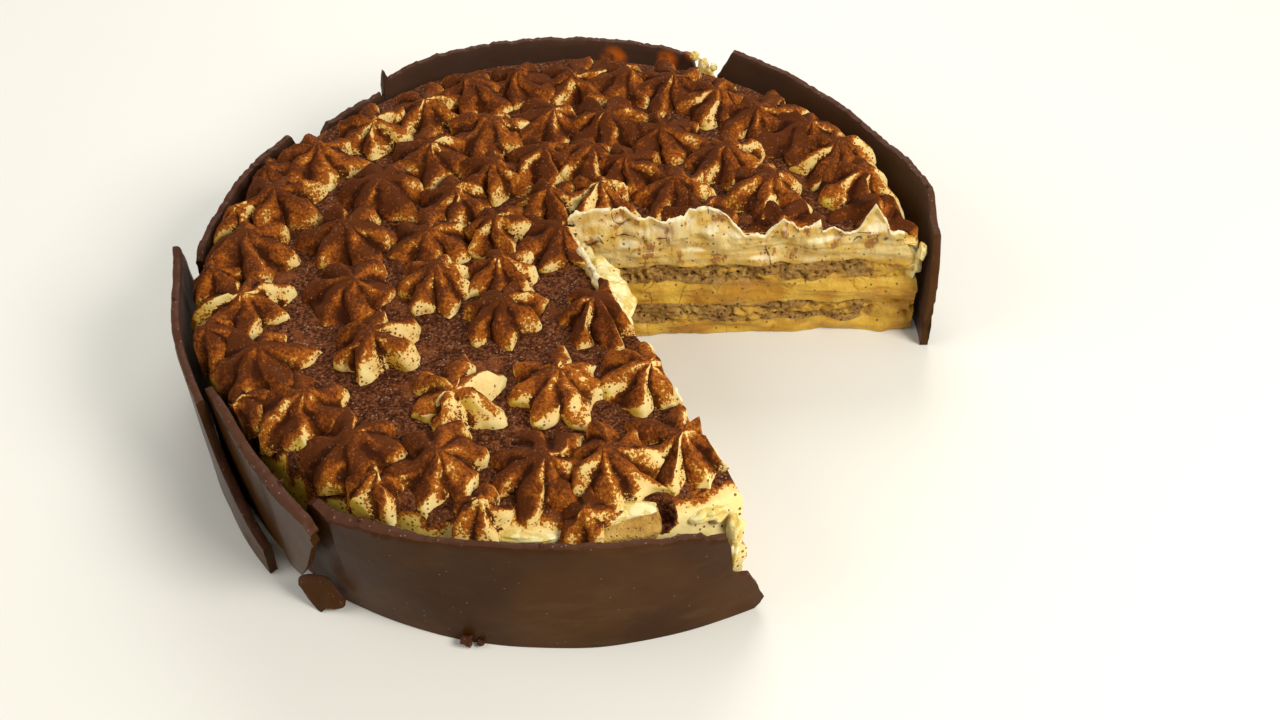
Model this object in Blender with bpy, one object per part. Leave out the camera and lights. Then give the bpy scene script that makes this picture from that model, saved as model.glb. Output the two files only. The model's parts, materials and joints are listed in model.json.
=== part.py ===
"""A round tiramisu cake with one slice taken out.

Cream and coffee-soaked sponge lie in layers inside a coat of cream. Stars of cream are piped on
the top, and broken panels of dark chocolate stand round the side. Metres, +Z up. The origin is
on the floor, in the middle of the room that the whole cake takes up, and -Y is the front.
"""

import math
import random

import bmesh
import bpy
from mathutils import Matrix, Vector, noise

# Driving dimensions. All places are measured from the middle of the cream; the collar's broken
# ends reach further to the left and the front, so the finished cake is moved to be centred.
MOVED = (0.0018, 0.0008, 0.0)
CHOCOLATE = 0.0024
CAKE_HEIGHT = 0.0355
CORE_RADIUS = 0.0865
LAYER_TOPS = {"cream_base": 0.0046, "sponge_lower": 0.0112, "cream_middle": 0.0190, "sponge_upper": 0.0252}
GAP = 0.0003
COLUMNS = 42

# The coat stands closer to its collar in some places than in others: (degrees round, radius).
# Its top edge is rounded off, and beside the back cut it has slumped inwards.
COAT_SIDE = (
    (0, 0.0952), (60, 0.0944), (126, 0.0944), (170, 0.0948), (184, 0.0966), (195, 0.0976), (203, 0.0972),
    (208, 0.0952), (213, 0.0952), (224, 0.0963), (265, 0.0964), (294, 0.0961), (360, 0.0952),
)
SHOULDER = 0.0036
SLUMP = 0.0044
SLUMP_AT = 0
SLUMP_WIDTH = 28

# The slice's two cuts meet near the middle and leave a gap between these directions.
CUT_POINT = (0.0000, 0.0050)
BACK_CUT = 0.0
FRONT_CUT = -66.4
CUT_LENGTH = 0.1250
CUT_STEPS = 14
CUT_RELIEF = 0.0009
CUT_LIP = 0.0016
CUT_LIP_FROM = 0.0880
SPONGE_RECESS = 0.0006
CUT_FLOOR = -0.0050
CUT_CEILING = 0.0600

# Piped stars: distance from the middle, star radius, and where each one sits round the cake.
STAR_ROWS = (
    (0.0035, 0.0108, (147,)),
    (0.0195, 0.0098, (214, 161, 106, 66)),
    (0.0285, 0.0112, (289, 238)),
    (0.0365, 0.0105, (203, 174, 148, 124, 102, 82, 62, 38, 14)),
    (0.0515, 0.0125, (291, 269)),
    (0.0575, 0.0120, (245, 218, 196, 175, 154, 134, 115, 97, 79, 60, 40, 22, 6)),
    (0.0775, 0.0122, (291, 281, 267, 250)),
    (0.0820, 0.0122, (236, 223, 209, 194, 180, 165, 151, 137, 124, 112, 101, 90, 79, 68, 57, 46, 35, 25, 16, 6)),
    (0.0900, 0.0070, (274, 259, 243, 216, 201, 187, 171, 158)),
)
STAR_HEIGHT = 0.0076
STAR_SINK = 0.0020
STAR_INSET = 0.0004
STAR_SEED = 11

# The knife dragged a torn crest of cream up along the back cut: (distance along it, height).
CREST = (
    (0.0030, 0.0020), (0.0065, 0.0056), (0.0120, 0.0085), (0.0165, 0.0068), (0.0215, 0.0058),
    (0.0270, 0.0066), (0.0335, 0.0080), (0.0385, 0.0078), (0.0435, 0.0042), (0.0485, 0.0010),
    (0.0530, 0.0036), (0.0555, 0.0068), (0.0585, 0.0042), (0.0635, 0.0044), (0.0655, 0.0052),
    (0.0672, 0.0012), (0.0735, 0.0016), (0.0775, 0.0040), (0.0800, 0.0082), (0.0830, 0.0060),
    (0.0865, 0.0036), (0.0890, 0.0008),
)
CREST_FOOT = 0.0045
CREST_THICK = 0.0030
CREST_THIN = 0.0012
CREST_LEAN = 0.32

# A biscuit end shows in the front shoulder, beside a small hollow that a finger left.
BISCUIT_SIZE = (0.0090, 0.0170, 0.0042)
BISCUIT_PLACE = (0.0912, 278.8, 0.0325)
BISCUIT_TILT = 12
HOLLOW_RADIUS = 0.0028
HOLLOW_PLACE = (0.0905, 284.6, 0.0355)

# A dab of cream sticks out of the coat's corner towards the collar behind the back cut.
DAB_PLACE = (0.0930, 4.4, 0.0225)
DAB_SIZE = (0.0022, 0.0030, 0.0042)

# Broken chocolate panels. Each has a top edge and a foot as (degrees round, height) and a run of
# outer radii as (degrees round, radius at the foot, radius at the top edge, thickness at the top).
PANELS = {
    "collar_back": (
        ((64.0, 0.0295), (65.5, 0.0312), (67.4, 0.0322), (68.0, 0.0363), (82, 0.0373), (103, 0.0378), (115, 0.0376),
         (121, 0.0368), (124.6, 0.0350), (125.3, 0.0388), (126.0, 0.0340)),
        ((64.0, 0.0), (126.0, 0.0)),
        ((64.0, 0.0985, 0.0985, 0.0024), (126.0, 0.0983, 0.0983, 0.0024)),
    ),
    "collar_right_back": (
        ((-0.8, 0.0215), (0.4, 0.0290), (2.5, 0.0346), (7.4, 0.0350), (10.6, 0.0384), (20, 0.0372), (28, 0.0356),
         (38, 0.0362), (49.5, 0.0380), (60.6, 0.0398), (61.6, 0.0362), (63.4, 0.0298)),
        ((-0.8, 0.0), (63.4, 0.0)),
        ((-0.8, 0.0985, 0.0988, 0.0024), (6, 0.0988, 0.0996, 0.0024), (12, 0.0995, 0.1012, 0.0024),
         (45, 0.1005, 0.1008, 0.0024), (63.4, 0.1003, 0.1006, 0.0024)),
    ),
    "collar_left_back": (
        ((126.6, 0.0332), (129, 0.0330), (134, 0.0325), (138.0, 0.0318), (139.4, 0.0298), (140.2, 0.0262),
         (143, 0.0256), (145.4, 0.0306), (146.4, 0.0357), (154, 0.0364), (160, 0.0359), (169, 0.0350), (177, 0.0354),
         (178.9, 0.0335)),
        ((126.6, 0.0), (178.9, 0.0)),
        ((126.6, 0.0983, 0.0983, 0.0024), (178.9, 0.0985, 0.0985, 0.0024)),
    ),
    "collar_left": (
        ((179.4, 0.0362), (180.2, 0.0402), (181.6, 0.0384), (186, 0.0372), (192, 0.0378), (197, 0.0380),
         (198.2, 0.0362), (203, 0.0372), (208, 0.0368), (211.5, 0.0362), (213, 0.0300), (216, 0.0220), (220, 0.0155),
         (224, 0.0112), (226.6, 0.0088)),
        ((179.4, 0.0), (226.6, 0.0)),
        ((179.4, 0.1008, 0.1028, 0.0024), (186, 0.1008, 0.1016, 0.0024), (205, 0.1014, 0.1016, 0.0024),
         (213, 0.1022, 0.1022, 0.0024), (221, 0.1038, 0.1038, 0.0026), (226.6, 0.1052, 0.1052, 0.0026)),
    ),
    "collar_left_front": (
        ((209, 0.0355), (213, 0.0378), (217, 0.0374), (222, 0.0352), (227, 0.0362), (231, 0.0374), (235, 0.0370),
         (238.4, 0.0364), (239.6, 0.0338)),
        ((209, 0.0020), (214, 0.0048), (219, 0.0080), (231, 0.0082), (234.2, 0.0105), (236.5, 0.0180),
         (239.0, 0.0290), (239.6, 0.0315)),
        ((209, 0.0986, 0.0986, 0.0024), (216, 0.0990, 0.0990, 0.0026), (221, 0.0998, 0.1000, 0.0028),
         (228, 0.1016, 0.1022, 0.0031), (231, 0.1034, 0.1040, 0.0036), (234.5, 0.1053, 0.1056, 0.0034),
         (239.6, 0.1074, 0.1078, 0.0030)),
    ),
    "collar_chip": (
        ((233.2, 0.0074), (233.8, 0.0088), (236.6, 0.0082), (238.0, 0.0050), (238.9, 0.0034)),
        ((233.2, 0.0060), (234.6, 0.0026), (235.9, 0.0), (236.6, 0.0), (237.2, 0.0016), (238.0, 0.0012),
         (238.9, 0.0022)),
        ((233.2, 0.1056, 0.1046, 0.0011), (236.6, 0.1056, 0.1017, 0.0011), (238.9, 0.1030, 0.1020, 0.0011)),
    ),
    "collar_front": (
        ((229.5, 0.0200), (233.5, 0.0245), (235.2, 0.0322), (236.4, 0.0336), (240, 0.0345), (246, 0.0352),
         (253, 0.0348), (258, 0.0358), (269, 0.0368), (279, 0.0354), (286, 0.0338), (288.5, 0.0328),
         (289.5, 0.0310), (291.8, 0.0303), (292.3, 0.0270), (292.8, 0.0160), (293.8, 0.0147), (295.5, 0.0134),
         (296.5, 0.0090), (297.4, 0.0030)),
        ((229.5, 0.0), (296.2, 0.0), (297.4, 0.0012)),
        ((229.5, 0.0985, 0.0985, 0.0018), (234, 0.0992, 0.0995, 0.0024), (237, 0.0998, 0.1010, 0.0034),
         (240, 0.0998, 0.1026, 0.0042), (247, 0.0998, 0.1016, 0.0038), (254, 0.0998, 0.0999, 0.0022),
         (297.4, 0.1000, 0.1000, 0.0022)),
    ),
}
PANEL_STEP = 5
RIM_ROUGHNESS = 0.0004

# Colours as linear red, green, blue, with the roughness of each finish.
FINISHES = {
    "cream": ((0.86, 0.76, 0.44), 0.42),
    "sponge": ((0.30, 0.17, 0.06), 0.85),
    "dusted_cream": ((0.17, 0.07, 0.03), 0.70),
    "chocolate": ((0.06, 0.03, 0.02), 0.38),
    "biscuit": ((0.55, 0.38, 0.16), 0.80),
}


def clear_scene():
    """Empty the file, so that the model starts from nothing."""
    for thing in list(bpy.data.objects):
        bpy.data.objects.remove(thing, do_unlink=True)


def polar(radius, degrees, height=0.0):
    """Turn a distance and a direction round the cake into a point."""
    angle = math.radians(degrees)
    return Vector((radius * math.cos(angle), radius * math.sin(angle), height))


def unevenness(x, y, layer, size):
    """Give a smooth value between about -1 and 1 that wanders over the given size."""
    return 2.0 * noise.noise(Vector((x / size, y / size, 7.3 * layer)))


def along(line, where):
    """Read every value of a line of (position, value, ...) rows at one position."""
    if where <= line[0][0]:
        return line[0][1:]
    for low, high in zip(line, line[1:]):
        if where <= high[0]:
            share = (where - low[0]) / (high[0] - low[0])
            return tuple(a + share * (b - a) for a, b in zip(low[1:], high[1:]))
    return line[-1][1:]


def finish(name):
    """Make a finish, or find it where it has been made."""
    material = bpy.data.materials.get(name)
    if material is None:
        colour, roughness = FINISHES[name]
        material = bpy.data.materials.new(name)
        material.use_nodes = True
        shader = material.node_tree.nodes["Principled BSDF"]
        shader.inputs["Base Color"].default_value = (*colour, 1.0)
        shader.inputs["Roughness"].default_value = roughness
        shader.inputs["Metallic"].default_value = 0.0
    return material


def keep_as(name, solid, finish_name, parent):
    """Store a finished solid as the named piece of the cake."""
    bmesh.ops.recalc_face_normals(solid, faces=solid.faces)
    bmesh.ops.translate(solid, vec=MOVED, verts=solid.verts)
    mesh = bpy.data.meshes.new(name)
    solid.to_mesh(mesh)
    solid.free()
    mesh.materials.append(finish(finish_name))
    mesh.shade_smooth()
    mesh.set_sharp_from_angle(angle=math.radians(35))
    piece = bpy.data.objects.new(name, mesh)
    piece.parent = parent
    bpy.context.scene.collection.objects.link(piece)
    return piece


def turned_solid(section):
    """Turn a section about the centre line. Each of its points gives a radius and a height."""
    solid = bmesh.new()
    rows = []
    for point in section[1:-1]:
        row = []
        for column in range(COLUMNS):
            degrees = 360.0 * column / COLUMNS
            radius, height = point(degrees)
            row.append(solid.verts.new(polar(radius, degrees, height)))
        rows.append(row)
    start = solid.verts.new((0.0, 0.0, section[0](0.0)[1]))
    end = solid.verts.new((0.0, 0.0, section[-1](0.0)[1]))
    for column in range(COLUMNS):
        after = (column + 1) % COLUMNS
        solid.faces.new((start, rows[0][after], rows[0][column]))
        solid.faces.new((rows[-1][column], rows[-1][after], end))
        for lower, upper in zip(rows, rows[1:]):
            # Two layers that meet are folded along the same lines, so that they never cross.
            if lower[0].co.xy.length < upper[0].co.xy.length:
                solid.faces.new((lower[column], lower[after], upper[after]))
                solid.faces.new((lower[column], upper[after], upper[column]))
            else:
                solid.faces.new((lower[column], lower[after], upper[column]))
                solid.faces.new((lower[after], upper[after], upper[column]))
    return solid


def interface(top_of, degrees, radius):
    """Give the height where one layer meets the next, a little uneven as in a hand-built cake."""
    level = LAYER_TOPS[top_of]
    point = polar(radius, degrees)
    return level + 0.0005 * unevenness(point.x, point.y, level * 1000, 0.022)


def side_radius(degrees, height):
    """Give the coat's outer radius: uneven, rounded off at the top and slumped beside the cut."""
    share = height / CAKE_HEIGHT
    turn = (degrees - SLUMP_AT + 180) % 360 - 180
    slumped = SHOULDER + SLUMP * math.exp(-((turn / SLUMP_WIDTH) ** 2))
    radius = along(COAT_SIDE, degrees % 360)[0]
    point = polar(radius, degrees)
    ripple = 0.0003 * unevenness(point.x, point.y, 30 * height, 0.015) - 0.0003
    return radius + ripple - slumped * share**4


def layer_solid(below, top_of):
    """Make one layer of the core, with half of each gap left above and below it."""

    def under(share):
        radius = CORE_RADIUS * share
        if below is None:
            return lambda degrees: (radius, 0.0)
        return lambda degrees: (radius, interface(below, degrees, radius) + GAP / 2)

    def over(share):
        radius = CORE_RADIUS * share
        return lambda degrees: (radius, interface(top_of, degrees, radius) - GAP / 2)

    shares = (0.0, 0.5, 1.0)
    return turned_solid([under(share) for share in shares] + [over(share) for share in reversed(shares)])


def cap_solid():
    """Make the top cream with the coat that runs down the side of the cake to the floor."""
    inside = CORE_RADIUS + GAP

    def underside(share):
        radius = CORE_RADIUS * share
        return lambda degrees: (radius, interface("sponge_upper", degrees, radius) + GAP / 2)

    def corner(degrees):
        return inside, interface("sponge_upper", degrees, CORE_RADIUS) + GAP / 2

    def side(share):
        height = CAKE_HEIGHT * share
        return lambda degrees: (side_radius(degrees, height), height)

    def top(radius):
        def point(degrees):
            place = polar(radius, degrees)
            return radius, CAKE_HEIGHT + 0.0004 * unevenness(place.x, place.y, 3, 0.020)

        return point

    section = [underside(share) for share in (0.0, 0.5, 1.0)]
    section += [corner, lambda degrees: (inside, 0.0)]
    section += [side(share) for share in (0.0, 0.40, 0.75, 0.92)]
    section.append(lambda degrees: (side_radius(degrees, CAKE_HEIGHT) - 0.0022, CAKE_HEIGHT))
    section += [top(radius) for radius in (0.060, 0.0)]
    return turned_solid(section)


def star_solid(middle, size, petals, turn, draw):
    """Pipe one star: fat ridged petals, steep at their ends, drawn up to a slightly bent peak."""
    solid = bmesh.new()

    def place(share, degrees, height):
        flat = (middle + polar(size * share, degrees)).xy
        towards = math.degrees(math.atan2(flat.y, flat.x)) % 360
        limit = along(COAT_SIDE, towards)[0] - STAR_INSET
        if flat.length > limit:
            flat = flat * (limit / flat.length)
        return solid.verts.new((flat.x, flat.y, middle.z + height))

    peak = place(draw.uniform(0.0, 0.12), draw.uniform(0.0, 360.0), STAR_HEIGHT * draw.uniform(0.94, 1.0))
    crests = []
    valleys = []
    for petal in range(petals):
        degrees = turn + 360.0 * petal / petals
        reach = draw.uniform(0.88, 1.10)
        lift = STAR_HEIGHT * draw.uniform(0.85, 1.10)
        foot = place(reach, degrees, -STAR_SINK)
        crests.append((foot, place(0.95 * reach, degrees, 0.46 * lift), place(0.58 * reach, degrees, 0.80 * lift)))
        between = degrees + 180.0 / petals
        valleys.append((place(0.66, between, -STAR_SINK), place(0.42, between, 0.30 * STAR_HEIGHT)))
    for petal in range(petals):
        crest = crests[petal]
        for valley in (valleys[petal], valleys[petal - 1]):
            solid.faces.new((crest[0], crest[1], valley[1], valley[0]))
            solid.faces.new((crest[1], crest[2], valley[1]))
            solid.faces.new((crest[2], peak, valley[1]))
    solid.faces.new([corner for crest, valley in zip(crests, valleys) for corner in (crest[0], valley[0])])
    bmesh.ops.recalc_face_normals(solid, faces=solid.faces)
    # Flat faces only, so that stars that run into each other join cleanly.
    bmesh.ops.triangulate(solid, faces=solid.faces)
    return solid


def in_the_gap(place, margin):
    """Tell whether a point lies in the gap, more than a margin inside both of its cuts."""
    away = Vector((place.x - CUT_POINT[0], place.y - CUT_POINT[1], 0.0))
    back = away.dot(polar(1.0, BACK_CUT - 90))
    front = away.dot(polar(1.0, FRONT_CUT + 90))
    return min(back, front) > margin


def star_solids():
    """Pipe the rows of stars, leaving out those that went with the slice."""
    draw = random.Random(STAR_SEED)
    stars = []
    for distance, size, places in STAR_ROWS:
        for degrees in places:
            place = polar(distance + draw.uniform(-0.0010, 0.0010), degrees, CAKE_HEIGHT)
            grown = size * draw.uniform(0.93, 1.07)
            petals = 5 if size < 0.009 else draw.choice((6, 6, 7))
            turn = draw.uniform(0.0, 60.0)
            if not in_the_gap(place, 0.6 * size):
                stars.append(star_solid(place, grown, petals, turn, draw))
    return stars


def crest_solid():
    """Drag up the torn crest along the back cut: a thin leaning wall with a ragged top edge."""
    solid = bmesh.new()
    start = Vector((CUT_POINT[0], CUT_POINT[1], 0.0))
    forward = polar(1.0, BACK_CUT)
    away = polar(1.0, BACK_CUT + 90)
    rows = []
    for distance, height in CREST:
        foot = start + forward * distance + Vector((0.0, 0.0, CAKE_HEIGHT - CREST_FOOT))
        rise = Vector((0.0, 0.0, CREST_FOOT + height))
        lean = away * (CREST_LEAN * height)
        row = [foot - away * 0.0004, foot + away * CREST_THICK]
        row += [foot + rise + lean + away * CREST_THIN, foot + rise + lean]
        rows.append([solid.verts.new(point) for point in row])
    for near, far in zip(rows, rows[1:]):
        for corner in range(4):
            after = (corner + 1) % 4
            solid.faces.new((near[corner], near[after], far[after], far[corner]))
    solid.faces.new(rows[0])
    solid.faces.new(list(reversed(rows[-1])))
    bmesh.ops.recalc_face_normals(solid, faces=solid.faces)
    return solid


def cut_offset(distance, height, side):
    """Give how far the cut face wanders sideways: sponge is torn deeper, and the coat sticks out."""
    wander = CUT_RELIEF * unevenness(distance, 2.2 * height, 20 + side, 0.011) * min(1.0, distance / 0.006)
    sponge = any(
        LAYER_TOPS[low] < height < LAYER_TOPS[high]
        for low, high in (("cream_base", "sponge_lower"), ("cream_middle", "sponge_upper"))
    )
    lip = CUT_LIP if side < 0 and distance > CUT_LIP_FROM else 0.0
    return wander - lip + (SPONGE_RECESS if sponge else 0.0)


def gap_solid():
    """Make the space that the slice left: a wedge whose two faces are the uneven cuts."""
    heights = [CUT_FLOOR]
    for level in LAYER_TOPS.values():
        heights += [level - 0.0008, level + 0.0008]
    heights += [0.0300, 0.0355, 0.0420, CUT_CEILING]
    solid = bmesh.new()
    start = Vector((CUT_POINT[0], CUT_POINT[1], 0.0))
    edge = [solid.verts.new(start + Vector((0.0, 0.0, height))) for height in heights]
    faces = []
    for side, degrees in ((1, BACK_CUT), (-1, FRONT_CUT)):
        forward = polar(1.0, degrees)
        outwards = polar(1.0, degrees + 90 * side)
        columns = [edge]
        for step in range(1, CUT_STEPS + 1):
            distance = CUT_LENGTH * step / CUT_STEPS
            column = []
            for height in heights:
                place = start + forward * distance + outwards * cut_offset(distance, height, side)
                column.append(solid.verts.new(place + Vector((0.0, 0.0, height))))
            columns.append(column)
        for near, far in zip(columns, columns[1:]):
            for row in range(len(heights) - 1):
                solid.faces.new((near[row], far[row], far[row + 1], near[row + 1]))
        faces.append(columns)
    back, front = faces
    for row in range(len(heights) - 1):
        solid.faces.new((back[-1][row], front[-1][row], front[-1][row + 1], back[-1][row + 1]))
    for row in (0, -1):
        ring = [column[row] for column in back] + [column[row] for column in reversed(front[1:])]
        solid.faces.new(ring)
    bmesh.ops.recalc_face_normals(solid, faces=solid.faces)
    return solid


def biscuit_solid(grow):
    """Make the biscuit end, or with some growth the pocket that it sits in."""
    solid = bmesh.new()
    bmesh.ops.create_cube(solid, size=1.0)
    size = [side + 2 * grow for side in BISCUIT_SIZE]
    bmesh.ops.scale(solid, vec=size, verts=solid.verts)
    upright = [edge for edge in solid.edges if abs(edge.verts[0].co.z - edge.verts[1].co.z) > size[2] / 2]
    bmesh.ops.bevel(solid, geom=upright, offset=0.40 * size[0], segments=3, profile=0.5, affect="EDGES")
    level = [edge for edge in solid.edges if abs(edge.verts[0].co.z - edge.verts[1].co.z) < size[2] / 4]
    rim = [edge for edge in level if len(edge.link_faces) == 2 and abs(edge.calc_face_angle() - math.pi / 2) < 0.1]
    bmesh.ops.bevel(solid, geom=rim, offset=0.22 * size[2], segments=1, profile=0.5, affect="EDGES")
    turn = Matrix.Rotation(math.radians(BISCUIT_PLACE[1]), 4, "Z")
    tilt = Matrix.Rotation(math.radians(BISCUIT_TILT), 4, "Y")
    shift = Matrix.Translation(polar(*BISCUIT_PLACE))
    bmesh.ops.transform(solid, matrix=shift @ turn @ tilt, verts=solid.verts)
    bmesh.ops.recalc_face_normals(solid, faces=solid.faces)
    return solid


def ball_solid(place, size):
    """Make a ball, stretched to its three half sizes."""
    solid = bmesh.new()
    bmesh.ops.create_icosphere(solid, subdivisions=1, radius=1.0)
    bmesh.ops.scale(solid, vec=size, verts=solid.verts)
    bmesh.ops.translate(solid, vec=polar(*place), verts=solid.verts)
    return solid


def helper(solid, name, collection):
    """Link a solid that only shapes another one, out of sight."""
    mesh = bpy.data.meshes.new(name)
    solid.to_mesh(mesh)
    solid.free()
    thing = bpy.data.objects.new(name, mesh)
    thing.hide_render = True
    thing.display_type = "WIRE"
    collection.objects.link(thing)
    return thing


def shaped(base, operation, solids):
    """Join solids to a base, or cut them from it, in one Boolean, and return the result."""
    group = bpy.data.collections.new("shaping")
    bpy.context.scene.collection.children.link(group)
    for number, solid in enumerate(solids):
        helper(solid, f"shaping_{number}", group)
    body = helper(base, "shaping_base", bpy.context.scene.collection)
    change = body.modifiers.new(operation, "BOOLEAN")
    change.operation = operation
    change.solver = "EXACT"
    change.operand_type = "COLLECTION"
    change.collection = group
    bpy.context.view_layer.update()
    graph = bpy.context.evaluated_depsgraph_get()
    mesh = bpy.data.meshes.new_from_object(body.evaluated_get(graph))
    result = bmesh.new()
    result.from_mesh(mesh)
    bpy.data.meshes.remove(mesh)
    for thing in [body] + list(group.objects):
        bpy.data.objects.remove(thing, do_unlink=True)
    bpy.data.collections.remove(group)
    bmesh.ops.remove_doubles(result, verts=result.verts, dist=0.00001)
    bmesh.ops.dissolve_degenerate(result, edges=result.edges, dist=0.00001)
    bmesh.ops.triangulate(result, faces=result.faces)
    keep_main_body(result)
    return result


def keep_main_body(solid):
    """Drop scraps that a cut left loose."""
    unseen = set(solid.verts)
    bodies = []
    while unseen:
        waiting = [unseen.pop()]
        body = set(waiting)
        while waiting:
            for edge in waiting.pop().link_edges:
                for vertex in edge.verts:
                    if vertex in unseen:
                        unseen.discard(vertex)
                        body.add(vertex)
                        waiting.append(vertex)
        bodies.append(body)
    bodies.sort(key=len)
    scraps = [vertex for body in bodies[:-1] for vertex in body]
    bmesh.ops.delete(solid, geom=scraps, context="VERTS")


def panel_solid(top, foot, radii, seed):
    """Bend one broken chocolate panel round the cake between its top edge and its foot."""
    low, high = top[0][0], top[-1][0]
    stops = {row[0] for row in top} | {row[0] for row in foot}
    count = int((high - low) // PANEL_STEP)
    for step in range(1, count + 1):
        place = low + (high - low) * step / (count + 1)
        if min(abs(place - stop) for stop in stops) > 0.3 * PANEL_STEP:
            stops.add(place)
    solid = bmesh.new()
    columns = []
    for degrees in sorted(stops):
        upper = along(top, degrees)[0] + RIM_ROUGHNESS * unevenness(degrees, 0.0, seed, 3.0)
        lower = along(foot, degrees)[0]
        foot_radius, top_radius, top_thickness = along(radii, degrees)
        foot_thickness = min(CHOCOLATE, top_thickness)
        ring = []
        for inside in (False, True):
            for share in (0.0, 0.5, 1.0):
                radius = foot_radius + (top_radius - foot_radius) * share
                if inside:
                    radius -= foot_thickness + (top_thickness - foot_thickness) * share
                ring.append(solid.verts.new(polar(radius, degrees, lower + (upper - lower) * share)))
        columns.append([ring[0], ring[1], ring[2], ring[5], ring[4], ring[3]])
    for near, far in zip(columns, columns[1:]):
        for corner in range(6):
            after = (corner + 1) % 6
            solid.faces.new((near[corner], near[after], far[after], far[corner]))
    for column in (columns[0], columns[-1]):
        solid.faces.new((column[0], column[1], column[4], column[5]))
        solid.faces.new((column[1], column[2], column[3], column[4]))
    return solid


def build():
    """Put the cake together from the base up."""
    clear_scene()
    cake = bpy.data.objects.new("tiramisu_cake", None)
    bpy.context.scene.collection.objects.link(cake)

    below = None
    for name in LAYER_TOPS:
        look = "sponge" if name.startswith("sponge") else "cream"
        keep_as(name, shaped(layer_solid(below, name), "DIFFERENCE", [gap_solid()]), look, cake)
        below = name

    topping = shaped(cap_solid(), "UNION", star_solids() + [crest_solid(), ball_solid(DAB_PLACE, DAB_SIZE)])
    cutters = [gap_solid(), biscuit_solid(GAP), ball_solid(HOLLOW_PLACE, (HOLLOW_RADIUS,) * 3)]
    keep_as("cream_top", shaped(topping, "DIFFERENCE", cutters), "dusted_cream", cake)
    keep_as("biscuit_end", biscuit_solid(0.0), "biscuit", cake)

    for seed, (name, (top, foot, radii)) in enumerate(PANELS.items()):
        keep_as(name, panel_solid(top, foot, radii, seed), "chocolate", cake)


build()
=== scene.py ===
"""The finishes and fine shapes of a round tiramisu cake with a wedge cut out of it."""

import json
import math
import random

import bpy
import numpy as np
from mathutils import Matrix, Vector, noise

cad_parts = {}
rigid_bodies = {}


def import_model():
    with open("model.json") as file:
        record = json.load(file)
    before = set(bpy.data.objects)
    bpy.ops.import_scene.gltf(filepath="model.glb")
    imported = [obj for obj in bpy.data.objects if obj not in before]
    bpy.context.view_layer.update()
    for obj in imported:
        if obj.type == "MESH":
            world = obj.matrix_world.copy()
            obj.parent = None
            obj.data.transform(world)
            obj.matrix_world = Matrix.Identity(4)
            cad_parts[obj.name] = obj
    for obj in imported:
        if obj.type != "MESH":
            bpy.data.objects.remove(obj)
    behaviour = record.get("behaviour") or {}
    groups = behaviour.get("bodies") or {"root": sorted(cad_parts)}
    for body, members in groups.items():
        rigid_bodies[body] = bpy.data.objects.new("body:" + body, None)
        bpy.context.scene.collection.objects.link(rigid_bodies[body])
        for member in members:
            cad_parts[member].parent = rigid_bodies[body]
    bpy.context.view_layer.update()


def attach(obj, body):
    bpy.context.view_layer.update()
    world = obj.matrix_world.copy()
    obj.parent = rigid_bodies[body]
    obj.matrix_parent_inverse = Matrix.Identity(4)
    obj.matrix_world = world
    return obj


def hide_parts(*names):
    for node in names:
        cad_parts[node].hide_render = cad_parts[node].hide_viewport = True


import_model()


# The core. Two sheets of coffee-soaked sponge lie between layers of mascarpone cream, spread by
# hand, so they meet in wavy lines. A wedge is cut out of the round, which leaves a rough face on
# each side of the gap: cream dragged along by the knife, sponge torn open.
MOVED = (0.0018, 0.0008, 0.0)
CORE_RADIUS = 0.0865
LAYER_TOPS = {"cream_base": 0.0046, "sponge_lower": 0.0112, "cream_middle": 0.0190, "sponge_upper": 0.0252}
CAKE_HEIGHT = 0.0355
COLUMNS = 216
CORE_RINGS = 48
CUT_POINT = (0.0000, 0.0050)
BACK_CUT = 0.0
FRONT_CUT = -66.4
CUT_LENGTH = 0.1250
CUT_COLUMNS = 240
CUT_ROWS = 84
CUT_TOP = 0.0362
CUT_ABOVE = (0.0385, 0.0415, 0.0460, 0.0600)
CUT_LIP = 0.0016
CUT_LIP_FROM = 0.0880
SOFT_SPREAD = (1.0, 0.75, 0.30)
CREAM = (0.87, 0.71, 0.31)
CREAM_SHADE = (0.68, 0.45, 0.045)
CUT_CREAM = (0.61, 0.37, 0.036)
CUT_CREAM_DEEP = (0.46, 0.22, 0.011)
TORN_IVORY = (0.67, 0.50, 0.19)
TORN_YELLOW = (0.60, 0.38, 0.070)
TORN_GREY = (0.56, 0.47, 0.34)
TORN_STREAK = (0.28, 0.095, 0.016)
TORN_CRACK_SHADE = (0.11, 0.034, 0.008)
TORN_TOP_PAINTED_LIGHT = (0.88, 0.79, 0.54)
SMEAR = (0.27, 0.110, 0.016)
CRUMB_SPECK = (0.075, 0.026, 0.010)
SPONGE_WET = (0.100, 0.032, 0.003)
SPONGE = (0.260, 0.122, 0.012)
SPONGE_PALE = (0.33, 0.18, 0.030)
SPONGE_DRY = (0.42, 0.265, 0.055)
SPONGE_PORE_SHADE = (0.030, 0.015, 0.007)


class Value:
    """A number that a finish works out at each point of a surface, written as arithmetic."""

    def __init__(self, finish, socket):
        self.finish = finish
        self.socket = socket

    def _with(self, operation, *others):
        return self.finish.maths(operation, self, *others)

    def __add__(self, other):
        return self._with("ADD", other)

    def __sub__(self, other):
        return self._with("SUBTRACT", other)

    def __rsub__(self, other):
        return self.finish.maths("SUBTRACT", other, self)

    def __mul__(self, other):
        return self._with("MULTIPLY", other)

    def __gt__(self, other):
        return self._with("GREATER_THAN", other)

    def __lt__(self, other):
        return self._with("LESS_THAN", other)

    __radd__ = __add__
    __rmul__ = __mul__


def feed(tree, socket, value):
    """Give a node's input a number, a colour or a link."""
    if isinstance(value, Value):
        value = value.socket
    if isinstance(value, bpy.types.NodeSocket):
        tree.links.new(value, socket)
    elif socket.type == "RGBA" and len(value) == 3:
        socket.default_value = (*value, 1.0)
    else:
        socket.default_value = value


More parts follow.
